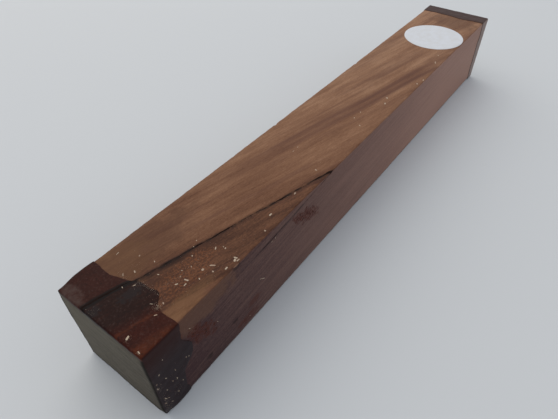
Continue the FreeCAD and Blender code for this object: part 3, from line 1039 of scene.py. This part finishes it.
# Ragged patches on the surface: the middle along, across and up from the top, the reach the same
# ways, how ragged the edge is, the size of its lumps and, if any, a tilt on the side faces.
PATCHES = {
    "dry_left": ((18.0, 12.0, 0.0), (14.0, 12.0, 6.0), 1.6, 4.0),
    "dry_right": ((20.0, -16.5, 0.0), (16.0, 4.2, 4.0), 0.6, 5.0),
    # Painted shade: the top darker by the left arris at the near end, where the light falls off.
    "painted_shade_near_left": ((24.0, 11.0, 0.0), (34.0, 12.0, 6.0), 1.0, 5.0),
    "darker_far": ((275.0, -5.0, 0.0), (15.0, 18.0, 6.0), 1.0, 5.0),
    "rubbed": ((29.0, -8.5, 0.0), (17.0, 7.0, 6.0), 0.8, 5.0),
    "browner": ((22.0, -HALF_WIDTH, -2.0), (24.0, 6.0, 10.0), 1.6, 5.0),
    "stain_top": ((28.0, 0.0, 0.0), (13.0, 7.0, 5.0), 0.7, 4.0),
    # Painted shade of the split on the right face.
    "split_shade_side": ((69.0, -HALF_WIDTH, -3.6), (24.0, 3.0, 5.0), 0.5, 3.0),
    "torn_far": ((82.5, -HALF_WIDTH, -10.2), (12.0, 6.0, 4.0), 2.0, 2.2, 28),
    "torn_near": ((21.4, -HALF_WIDTH, -14.4), (10.5, 6.0, 4.6), 2.0, 2.6, 44),
    # Painted sheen, partly dull bloom, at the left corner of the near wax.
    "sheen_bloom_corner": ((1.0, 14.5, 0.0), (4.0, 8.0, 6.0), 1.4, 2.2),
    "soot_margin": ((12.8, -0.6, 0.0), (5.4, 2.8, 4.0), 2.0, 1.2),
    "soot_edge": ((1.0, 3.4, 0.0), (3.2, 2.6, 4.0), 2.0, 1.2),
}

# The purple vein on the top: two dark lines with purple wood between them, by growth layer.
VEIN = ((24.6, 0), (26.2, 0.6), (27.2, 0.5), (28.2, 0.3), (29.4, 0.66), (30.4, 0.4), (31.6, 0))

# Gum and painted shade beside the shake, by the distance from it: painted shade of the split on
# the lips, gum as a stain under them near the start, painted shade of the split on the right
# face, and gum through the wax.
SPLIT_SHADE_ON_LIPS = ((-1.0, 0), (-0.3, 1), (0.3, 1), (0.8, 0))
GUM_STAIN = ((-3.4, 0), (-2.0, 0.45), (-0.8, 0.95), (0.1, 0.9), (0.4, 0))
SPLIT_SHADE_ON_RIGHT = ((-1.8, 0), (-0.6, 1), (0.6, 1), (1.8, 0))
GUM_IN_WAX = ((-1.7, 0), (-0.9, 0.95), (0.6, 0.95), (1.5, 0))

# The colour that the wax takes from the wood under it, by growth layer.
UNDER_WAX = (
    (-20, "amber"), (-16.8, "amber"), (-14.6, "red"), (-10.0, "red"), (-9.1, "amber"), (-8.2, "red"),
    (-5.0, "black"), (6.6, "black"), (7.6, "brown"), (20, "brown"),
)


def live_socket(sockets, key):
    """The socket with that name or number, among those that the node's settings leave in use."""
    live = [socket for socket in sockets if socket.enabled]
    return live[key] if isinstance(key, int) else next(socket for socket in live if socket.name == key)


def add_node(tree, kind, inputs=(), stops=(), **settings):
    """Adds a shader node with its settings, its ramp's stops, and values or links into its sockets.

    Inputs go by name or in the node's own order. That of a MapRange is the value, where it starts
    and ends, and what it is turned into there. That of a TexNoise is the place, the scale, the
    detail and the roughness.
    """
    node = tree.nodes.new("ShaderNode" + kind)
    for name, value in settings.items():
        setattr(node, name, value)
    for number, (place, colour) in enumerate(stops):
        elements = node.color_ramp.elements
        element = elements[number] if number < 2 else elements.new(place)
        element.position = place
        element.color = colour if hasattr(colour, "__len__") else (colour, colour, colour, 1)
    for key, value in inputs.items() if isinstance(inputs, dict) else enumerate(inputs):
        socket = live_socket(node.inputs, key)
        if isinstance(value, bpy.types.Node):
            value = live_socket(value.outputs, 0)
        if isinstance(value, bpy.types.NodeSocket):
            tree.links.new(value, socket)
        else:
            socket.default_value = value
    return node


def new_material(name):
    """The empty nodes of a material, which is made if there is none of that name."""
    material = bpy.data.materials.get(name) or bpy.data.materials.new(name)
    material.use_nodes = True
    material.node_tree.nodes.clear()
    return material.node_tree


def finish_surface(tree, properties):
    """Gives a material its surface."""
    add_node(tree, "OutputMaterial", {"Surface": add_node(tree, "BsdfPrincipled", properties)})


def wood_place(tree):
    """The place on the wood in millimetres: along from the near end, across, and up from the top."""
    return add_node(
        tree,
        "Mapping",
        {
            "Vector": add_node(tree, "TexCoord").outputs["Object"],
            "Location": (-WOOD_LOW.x / MM, 0, -WOOD_HIGH.z / MM),
            "Scale": (1 / MM,) * 3,
        },
    )


def growth_layer(tree, place, wander):
    """Which growth layer a point is in: millimetres across the top, counted from the right."""
    along, across, up = add_node(tree, "SeparateXYZ", [place]).outputs
    slant = add_node(tree, "Math", [along, LAYER_SLANT, across], operation="MULTIPLY_ADD")
    fan = add_node(tree, "Math", [along, LAYER_FAN, 1.0], operation="MULTIPLY_ADD")
    flat = add_node(tree, "Math", [slant, fan], operation="DIVIDE")
    layer = add_node(tree, "Math", [up, -LAYER_DIP, flat], operation="MULTIPLY_ADD")
    swell = add_node(tree, "Mapping", {"Vector": place, "Scale": (1 / 55, 1 / 14, 1 / 10)})
    sway = add_node(tree, "TexNoise", [swell, 1.0, 2.0])
    shift = add_node(tree, "Math", [sway, 0.5], operation="SUBTRACT")
    return add_node(tree, "Math", [shift, wander, layer], operation="MULTIPLY_ADD")


def off_shake(tree, place):
    """How far a point lies from the shake, in millimetres across the top, positive to the left."""
    along, across, up = add_node(tree, "SeparateXYZ", [place]).outputs
    slanted = add_node(tree, "Math", [along, SHAKE_SLOPE, across], operation="MULTIPLY_ADD")
    dipped = add_node(tree, "Math", [up, -SHAKE_DIP, slanted], operation="MULTIPLY_ADD")
    return add_node(tree, "Math", [dipped, SHAKE_START], operation="SUBTRACT")


def streaks(tree, place, layer, long, wide, detail=3.0):
    """Streaks that follow the growth layers, so long along the wood and so wide across the top."""
    along, across, _ = add_node(tree, "SeparateXYZ", [place]).outputs
    grain = add_node(tree, "CombineXYZ", [along, layer, across])
    scaled = add_node(tree, "Mapping", {"Vector": grain, "Scale": (1 / long, 1 / wide, 1 / long)})
    return add_node(tree, "TexNoise", [scaled, 1.0, detail, 0.6])


def fibres(tree, place, long, wide):
    """Fine fibres along the wood, the same on every face."""
    scaled = add_node(tree, "Mapping", {"Vector": place, "Scale": (1 / long, 1 / wide, 1 / wide)})
    return add_node(tree, "TexNoise", [scaled, 1.0, 3.0, 0.65])


def patch(tree, place, middle, reach, ragged, lump, tilt=0):
    """1 inside a ragged patch on the surface and 0 outside it."""
    shrunk = add_node(
        tree,
        "Mapping",
        {"Vector": place, "Location": middle, "Rotation": (0, math.radians(tilt), 0), "Scale": reach},
        vector_type="TEXTURE",
    )
    distance = add_node(tree, "VectorMath", [shrunk], operation="LENGTH")
    lumps = add_node(tree, "TexNoise", [place, 1 / lump, 4.0])
    edge = add_node(tree, "Math", [lumps, ragged, distance], operation="MULTIPLY_ADD")
    start = 1.0 + ragged / 2
    return add_node(tree, "MapRange", [edge, start, start - 0.5], interpolation_type="SMOOTHSTEP")


def in_patches(tree, place, *names):
    """1 inside any of the patches of these names and 0 outside them."""
    spots = [patch(tree, place, *PATCHES[name]) for name in names]
    return spots[0] if len(spots) == 1 else add_node(tree, "Math", spots, operation="MAXIMUM")


def band(tree, layer, stops):
    """A value or colour by growth layer, or by the distance from the shake, from its stops."""
    first, last = stops[0][0], stops[-1][0]
    share = add_node(tree, "MapRange", [layer, first, last])
    return add_node(
        tree, "ValToRGB", [share], stops=[((mark - first) / (last - first), to) for mark, to in stops]
    )


def sum_of(tree, base, *parts):
    """A base value with noises added to it, each by its weight and about its own mean of a half."""
    for noise_node, weight in parts:
        base = add_node(tree, "Math", [noise_node, weight, base], operation="MULTIPLY_ADD")
    mean = sum(weight for noise_node, weight in parts) / 2
    return add_node(tree, "Math", [base, mean], operation="SUBTRACT")


def share_of(tree, *factors):
    """The product of values from 0 to 1."""
    product = factors[0]
    for factor in factors[1:]:
        product = add_node(tree, "Math", [product, factor], operation="MULTIPLY")
    return product


def coated(tree, colour, *coats):
    """A colour with others laid over it one after another, each by its share."""
    for share, coat in coats:
        colour = add_node(tree, "Mix", [share, colour, coat], data_type="RGBA")
    return colour


def facing(tree, axis, sign=0):
    """1 on the faces that look along an axis and 0 on the others. A sign picks one way along it."""
    normal = add_node(tree, "NewGeometry").outputs["Normal"]
    part = add_node(tree, "SeparateXYZ", [normal]).outputs[axis]
    if sign:
        part = add_node(tree, "Math", [part, sign], operation="MULTIPLY")
    else:
        part = add_node(tree, "Math", [part], operation="ABSOLUTE")
    return add_node(tree, "MapRange", [part, 0.45, 0.85])


def make_sawn_material(colours):
    """Dark hardwood heartwood, bandsawn and dry: satin, in slanting brown bands with a purple vein.

    The bands give the eye the slant of the grain, the fine streaks its length, and the sides, which
    show the layers from their edge, are plainer and more purple, partly as a painted tint of cool
    light. Painted shade darkens the near end, and painted sheen pales the sides at the far end.
    """
    tree = new_material("sawn_hardwood")
    place = wood_place(tree)
    along, across, up = add_node(tree, "SeparateXYZ", [place]).outputs
    layer = growth_layer(tree, place, 1.0)
    # The tones of the layers have clouds, streaks and pores in them. Painted shade makes them
    # darker at the near end, where the light falls off, and a little paler past the middle.
    counted = add_node(tree, "Math", [layer, LAYER_FIRST], operation="SUBTRACT")
    turned = add_node(tree, "Math", [counted, LAYER_SPAN], operation="PINGPONG")
    tones = band(tree, turned, [(mark - LAYER_FIRST, tone) for mark, tone in LAYER_TONES])
    clouds = streaks(tree, place, layer, 30, 5)
    bands = streaks(tree, place, layer, 60, 1.6, 4.0)
    fine = streaks(tree, place, layer, 14, 0.55, 4.0)
    pores = fibres(tree, place, 3, 0.4)
    grit = add_node(tree, "TexNoise", [place, 1 / 0.8, 3.0, 0.7])
    # Painted shade and light: darker towards the near end, paler from 140 mm on.
    painted_falloff_near = add_node(tree, "MapRange", [along, 0, 140, -0.13, 0.09])
    tones = add_node(tree, "Math", [tones, painted_falloff_near], operation="ADD")
    tone = sum_of(tree, tones, (clouds, 0.8), (bands, 0.6), (fine, 0.36), (pores, 0.45), (grit, 0.5))
    wood = add_node(
        tree,
        "ValToRGB",
        [tone],
        stops=((0.0, colours.dark), (1.0, colours.pale), (0.3, colours.brown), (0.68, colours.tan)),
    )
    # The vein fades in from the near end and out before the label. Purple layers lie between the
    # brown ones. The wood is drier and more golden beside the wax and along the right arris. Painted
    # shade darkens it by the left arris near the near end, and it is darker past the label. Sawdust
    # is rubbed into the grain between the shake and the right arris, and its pits stay dark.
    vein_in = add_node(tree, "MapRange", [along, 70, 135, 0.15])
    vein_out = add_node(tree, "MapRange", [along, 195, 225, 1.0, 0.2])
    hue = streaks(tree, place, layer, 80, 2.6)
    rubbed = in_patches(tree, place, "rubbed")
    wood = coated(
        tree,
        wood,
        (share_of(tree, band(tree, layer, VEIN), vein_in, vein_out), colours.vein),
        (add_node(tree, "MapRange", [hue, 0.5, 0.68, 0.0, 0.45]), colours.vein),
        (share_of(tree, in_patches(tree, place, "dry_left", "dry_right"), clouds, 0.75), colours.dry),
        # Painted shade by the left arris near the near end, then a darker patch past the label.
        (share_of(tree, in_patches(tree, place, "painted_shade_near_left"), 0.44), colours.dark),
        (share_of(tree, in_patches(tree, place, "darker_far"), 0.4), colours.dark),
        (
            share_of(tree, rubbed, add_node(tree, "MapRange", [grit, 0.5, 0.64, 0.15, 0.85])),
            colours.dusty,
        ),
        (share_of(tree, rubbed, add_node(tree, "MapRange", [grit, 0.48, 0.38]), 0.75), colours.dark),
    )
    # The sides show the layers from their edge. A painted ramp runs along them, dark purple with
    # painted shade at the near end and pale with painted sheen at the far end, most of all low down
    # and on the right face. The wood is browner by the right top arris, and has dark and reddish spots.
    side_share = add_node(tree, "MapRange", [along, 10, 230])
    seen = add_node(tree, "MapRange", {"Value": facing(tree, 1, -1), "To Min": 0.45})
    painted_far_sheen = share_of(tree, side_share, seen)
    side_tone = sum_of(tree, painted_far_sheen, (clouds, 0.4), (bands, 0.34), (pores, 0.25), (grit, 0.4))
    sheen_low_down = add_node(tree, "MapRange", [up, 0, -40, -0.15, 0.15])
    side_tone = add_node(tree, "Math", [sheen_low_down, side_share, side_tone], operation="MULTIPLY_ADD")
    side = add_node(
        tree, "ValToRGB", [side_tone], stops=((0.0, colours.side_near), (1.0, colours.side_far_sheen))
    )
    side = coated(tree, side, (share_of(tree, in_patches(tree, place, "browner"), 0.38), colours.tan))
    for colour, spot_along, down, size in SIDE_SPOTS:
        middle, reach = (spot_along, -HALF_WIDTH, -down), (size, 6.0, 0.6 * size)
        spot = share_of(tree, patch(tree, place, middle, reach, 1.4, 1.8), 0.5)
        side = coated(tree, side, (spot, getattr(colours, colour)))
    # Painted shade of the split, in the gum's colour, blackens the lips of the shake in places, on the
    # top and on the right face, and gum stains the layer just below it near its start. Grime darkens
    # the worn arrises. The grain is torn in two patches on the right face, red-brown with dark pits.
    off = off_shake(tree, place)
    seep = streaks(tree, place, off, 5, 3)
    seeped = add_node(tree, "MapRange", [seep, 0.4, 0.56, 0.25])
    split_shade_top = share_of(tree, band(tree, off, SPLIT_SHADE_ON_LIPS), seeped, facing(tree, 2), 0.9)
    stain = share_of(tree, band(tree, off, GUM_STAIN), in_patches(tree, place, "stain_top"), seeped, 0.6)
    split_shade_right = share_of(tree, band(tree, off, SPLIT_SHADE_ON_RIGHT), in_patches(tree, place, "split_shade_side"), seeped, 0.65)
    inset = add_node(tree, "Math", [across], operation="ABSOLUTE")
    fray = add_node(tree, "Math", [grit, 1.6, inset], operation="MULTIPLY_ADD")
    worn = add_node(tree, "MapRange", [fray, HALF_WIDTH + 0.1, HALF_WIDTH + 0.9])
    torn = in_patches(tree, place, "torn_far", "torn_near")
    speckle = add_node(tree, "TexNoise", [place, 0.7, 4.0, 0.7])
    torn_share = share_of(tree, torn, add_node(tree, "MapRange", [speckle, 0.36, 0.54]))
    pits = share_of(tree, torn, add_node(tree, "MapRange", [speckle, 0.56, 0.62]), 0.8)
    wood = coated(
        tree,
        wood,
        (facing(tree, 1), side),
        (split_shade_top, colours.gum),
        (stain, colours.gum),
        (split_shade_right, colours.gum),
        (share_of(tree, worn, facing(tree, 2), 0.6), colours.dark),
        (torn_share, colours.torn),
        (pits, colours.gum),
    )
    # The surface: fibres and streaks raise the grain, and torn patches are rough.
    raised = add_node(tree, "Math", [fine, 0.5, pores], operation="MULTIPLY_ADD")
    rough = share_of(tree, torn_share, speckle)
    height = add_node(tree, "Math", [rough, 3.0, raised], operation="MULTIPLY_ADD")
    bump = add_node(tree, "Bump", {"Height": height, "Strength": 0.4, "Distance": 0.15 * MM})
    gloss = add_node(tree, "MapRange", {"Value": fine, "To Min": 0.45, "To Max": 0.65})
    finish_surface(
        tree,
        {"Base Color": wood, "Roughness": gloss, "IOR": 1.5, "Specular IOR Level": 0.1, "Normal": bump},
    )


def make_split_material(colours):
    """The faces inside the shake, blackened by gum and by painted shade of the narrow split: dull and
    nearly black, with the grain showing.
    """
    tree = new_material("split_heartwood")
    fibre = fibres(tree, wood_place(tree), 5, 0.4)
    dark = coated(tree, colours.gum, (fibre, colours.dark), (0.75, colours.gum))
    bump = add_node(tree, "Bump", {"Height": fibre, "Strength": 0.5, "Distance": 0.2 * MM})
    finish_surface(
        tree,
        {"Base Color": dark, "Roughness": 0.9, "IOR": 1.5, "Specular IOR Level": 0.1, "Normal": bump},
    )


def make_torn_material(colours):
    """Wood broken out along an arris: rough fibres, a little lighter than the sawn faces."""
    tree = new_material("torn_hardwood")
    fibre = fibres(tree, wood_place(tree), 2.5, 0.25)
    tone = coated(tree, colours.brown, (fibre, colours.tan))
    bump = add_node(tree, "Bump", {"Height": fibre, "Strength": 0.8, "Distance": 0.2 * MM})
    finish_surface(tree, {"Base Color": tone, "Roughness": 0.75, "IOR": 1.5, "Normal": bump})


def make_wax_material(colours):
    """Brown sealing wax from a hot dip: a thin film, glossy where it is new, over the dark wood.

    The wood's layers show through as black, red and amber streaks, with grey flecks, and a grey patch
    at the left corner is partly dull bloom and partly painted sheen. Painted sheen pales the wax
    towards the far end, the sides look nearly black, and the end grain shows a painted olive grey
    reflection of the floor.
    """
    tree = new_material("dipped_sealing_wax")
    place = wood_place(tree)
    along, across, up = add_node(tree, "SeparateXYZ", [place]).outputs
    layer = growth_layer(tree, place, 1.2)
    cloudy = add_node(tree, "TexNoise", [place, 1 / 3.5, 4.0, 0.6])
    fine = streaks(tree, place, layer, 12, 1.0, 4.0)
    specks = add_node(tree, "TexNoise", [place, 1 / 0.8, 3.0, 0.7])
    # The black gum of the shake shows as a soft band. The sides are browner by the top. The left
    # corner has a grey patch, partly dull bloom and partly painted sheen, painted sheen pales the wax
    # towards the far end, most of all on the right face, and there are two patches of black soot
    # right of the shake.
    side_tone = add_node(tree, "MapRange", [up, -14.0, -4.0, 0.0, 0.6])
    side = coated(tree, colours.side, (side_tone, colours.brown))
    mottled = add_node(tree, "MapRange", [cloudy, 0.35, 0.65, 0.1])
    bloom_and_sheen = share_of(tree, in_patches(tree, place, "sheen_bloom_corner"), mottled, 0.55)
    # Painted sheen that grows towards the far end.
    far_end_sheen = add_node(tree, "MapRange", [along, 150, 290])
    wax = coated(
        tree,
        band(tree, layer, [(mark, getattr(colours, name)) for mark, name in UNDER_WAX]),
        (add_node(tree, "MapRange", [cloudy, 0.42, 0.7, 0.0, 0.5]), colours.black),
        (add_node(tree, "MapRange", [fine, 0.5, 0.72, 0.0, 0.5]), colours.red),
        (add_node(tree, "MapRange", [specks, 0.54, 0.72, 0.0, 0.24]), colours.bloom_and_sheen),
        (add_node(tree, "MapRange", [specks, 0.46, 0.3, 0.0, 0.6]), colours.gum),
        (band(tree, off_shake(tree, place), GUM_IN_WAX), colours.gum),
        (facing(tree, 1), side),
        (bloom_and_sheen, colours.bloom_and_sheen),
        (share_of(tree, far_end_sheen, 0.4), colours.bloom_and_sheen),
        (share_of(tree, far_end_sheen, 0.85, facing(tree, 1, -1)), colours.painted_far_sheen),
        (share_of(tree, in_patches(tree, place, "soot_margin", "soot_edge"), 0.6), colours.soot),
    )
    # The end grain under its wax carries a painted olive grey reflection of the floor, paler to the
    # upper left, with the saw's marks across it and dark edges. The top's wax folds over its upper edge.
    ragged = add_node(tree, "Math", [cloudy, 4.0, up], operation="MULTIPLY_ADD")
    on_end = share_of(tree, facing(tree, 0), add_node(tree, "MapRange", [ragged, 0.9, 0.2]))
    slope = add_node(tree, "Math", [across, up], operation="ADD")
    lit = add_node(tree, "MapRange", [slope, -60.0, 20.0, 0.55, 1.05])
    kerf = add_node(tree, "Mapping", {"Vector": place, "Scale": (1.0, 1 / 14, 1 / 0.7)})
    sawn = add_node(tree, "TexNoise", [kerf, 1.0, 4.0, 0.65])
    lit = sum_of(tree, lit, (sawn, 1.5), (specks, 0.8))
    aside = add_node(tree, "Math", [across], operation="ABSOLUTE")
    drop = add_node(tree, "Math", [up, WOOD_HEIGHT / 2], operation="ADD")
    drop = add_node(tree, "Math", [drop], operation="ABSOLUTE")
    outer = add_node(tree, "Math", [aside, drop], operation="MAXIMUM")
    outer = add_node(tree, "Math", [specks, 1.2, outer], operation="MULTIPLY_ADD")
    rim = add_node(tree, "MapRange", [outer, HALF_WIDTH - 1.3, HALF_WIDTH + 0.1, 0.0, 0.88])
    end = coated(tree, colours.side, (lit, colours.end), (rim, colours.gum))
    wax = coated(tree, wax, (on_end, end))
    smear = add_node(tree, "MapRange", {"Value": cloudy, "To Min": 0.25, "To Max": 0.5})
    gloss = add_node(tree, "Math", [bloom_and_sheen, 0.4, smear], operation="MULTIPLY_ADD")
    gloss = add_node(tree, "Math", [on_end, 0.3, gloss], operation="MULTIPLY_ADD")
    ripples = add_node(tree, "Math", [fine, 0.4, cloudy], operation="MULTIPLY_ADD")
    bump = add_node(tree, "Bump", {"Height": ripples, "Strength": 0.3, "Distance": 0.2 * MM})
    finish_surface(
        tree,
        {"Base Color": wax, "Roughness": gloss, "IOR": 1.45, "Specular IOR Level": 0.08, "Normal": bump},
    )


def make_paper_material(colours):
    """Uncoated white label paper: matte, with a faint cloudy formation and fine fibres."""
    tree = new_material("bare_label_paper")
    place = wood_place(tree)
    cloud = add_node(tree, "TexNoise", [place, 1 / 4.0, 5.0, 0.6])
    fibre = add_node(tree, "TexNoise", {"Vector": place, "Scale": 3.5, "Detail": 4.0, "Distortion": 1.5})
    soil = add_node(tree, "MapRange", [cloud, 0.4, 0.9, 0.0, 0.5])
    paper = coated(tree, colours.paper, (soil, colours.soiled))
    bump = add_node(tree, "Bump", {"Height": fibre, "Strength": 0.25, "Distance": 0.05 * MM})
    finish_surface(tree, {"Base Color": paper, "Roughness": 0.7, "IOR": 1.45, "Normal": bump})


def make_sapwood_material(colours):
    """Slivers of pale sapwood, torn by the saw: dull cream fibres."""
    tree = new_material("pale_sapwood_slivers")
    tint = add_node(tree, "TexNoise", [wood_place(tree), 0.7, 2.0])
    share = add_node(tree, "MapRange", [tint, 0.45, 0.75, 0.0, 0.6])
    colour = coated(tree, colours.sapwood, (share, colours.heartwood))
    finish_surface(tree, {"Base Color": colour, "Roughness": 0.8, "IOR": 1.5})


def make_dust_material(colours):
    """Sawdust of heartwood and sapwood mixed: each grain has its own tint."""
    tree = new_material("fine_sawdust")
    tint = add_node(tree, "TexNoise", [wood_place(tree), 2.0, 1.0])
    share = add_node(tree, "MapRange", [tint, 0.38, 0.62])
    colour = coated(tree, colours.heartwood, (share, colours.sapwood))
    finish_surface(tree, {"Base Color": colour, "Roughness": 0.85, "IOR": 1.5})


def make_floor_material(colours):
    """A plain pale board: matte, and seen in reflections as it is seen by the eye."""
    finish_surface(new_material("pale_floor"), {"Base Color": colours.floor, "Roughness": 0.85})


# The stage

# Where the photo was taken from, solved from the blank's corners in it. The window's place and
# the sizes are in metres.
CAMERA_PLACE = Vector((-171.22, -86.6, 156.92)) * MM
CAMERA_TURN = Euler([math.radians(degrees) for degrees in (45.5045, 0.3166, -53.4952)])
WINDOW_PLACE = Vector((0.3, 0.95, 1.3))
WINDOW_SIZE = 2.4
FLOOR_SIZE = 8


class TURNING_BLANK_OT_add_stage(bpy.types.Operator):
    """Adds the floor, the soft lights and the camera"""

    bl_idname = "turning_blank.add_stage"
    bl_label = "Add Stage"
    bl_options = {"REGISTER", "UNDO"}

    def execute(self, context):
        settings = context.scene.turning_blank.stage
        make_floor_material(settings)
        deselect_all()
        bpy.ops.mesh.primitive_plane_add(size=FLOOR_SIZE)
        floor = name_piece("floor")
        floor.data.materials.append(bpy.data.materials["pale_floor"])
        bpy.ops.object.light_add(type="AREA", location=WINDOW_PLACE)
        window = context.object
        window.name = "window"
        window.rotation_euler = (-WINDOW_PLACE).to_track_quat("-Z", "Y").to_euler()
        window.data.shape = "DISK"
        window.data.size = WINDOW_SIZE
        window.data.energy = settings.window_watts
        window.data.color = settings.window[:3]
        world = bpy.data.worlds.new("soft_sky")
        context.scene.world = world
        world.use_nodes = True
        tree = world.node_tree
        tree.nodes.clear()
        height = add_node(tree, "SeparateXYZ", [add_node(tree, "TexCoord").outputs["Generated"]]).outputs[2]
        level = add_node(
            tree,
            "MapRange",
            {"Value": height, "To Min": settings.sky_low, "To Max": settings.sky_high},
        )
        light = add_node(tree, "Background", {"Color": settings.sky, "Strength": level})
        add_node(tree, "OutputWorld", {"Surface": light})
        bpy.ops.object.camera_add(location=CAMERA_PLACE, rotation=CAMERA_TURN)
        camera = context.object
        camera.name = "camera"
        camera.data.lens = settings.lens
        camera.data.sensor_width = 36
        camera.data.clip_start = 0.01
        context.scene.camera = camera
        context.scene.view_settings.view_transform = "Standard"
        return {"FINISHED"}


class TURNING_BLANK_PT_panel(bpy.types.Panel):
    """Lists the pieces of the blank and their settings"""

    bl_label = "Turning Blank"
    bl_idname = "TURNING_BLANK_PT_panel"
    bl_space_type = "VIEW_3D"
    bl_region_type = "UI"
    bl_category = "Blank"

    def draw(self, context):
        settings = context.scene.turning_blank
        for operator, group in PIECES:
            box = self.layout.box()
            box.operator(operator.bl_idname)
            values = getattr(settings, group)
            for name in values.__annotations__:
                box.prop(values, name)


PIECES = (
    (TURNING_BLANK_OT_add_stick, "stick"),
    (TURNING_BLANK_OT_add_wax, "wax"),
    (TURNING_BLANK_OT_add_label, "label"),
    (TURNING_BLANK_OT_add_dust, "dust"),
    (TURNING_BLANK_OT_add_stage, "stage"),
)
GROUPS = (StickSettings, WaxSettings, LabelSettings, DustSettings, StageSettings, BlankSettings)
CLASSES = (*GROUPS, *(operator for operator, _ in PIECES), TURNING_BLANK_PT_panel)


def register():
    """Adds the settings, the operators and the panel to Blender."""
    for kind in CLASSES:
        bpy.utils.register_class(kind)
    bpy.types.Scene.turning_blank = bpy.props.PointerProperty(type=BlankSettings)


def unregister():
    """Takes them out again."""
    del bpy.types.Scene.turning_blank
    for kind in reversed(CLASSES):
        bpy.utils.unregister_class(kind)


def main():
    """Builds the blank and its stage."""
    register()
    for operator, _ in PIECES:
        getattr(bpy.ops.turning_blank, operator.bl_idname.partition(".")[2])()
    deselect_all()


if __name__ == "__main__":
    main()
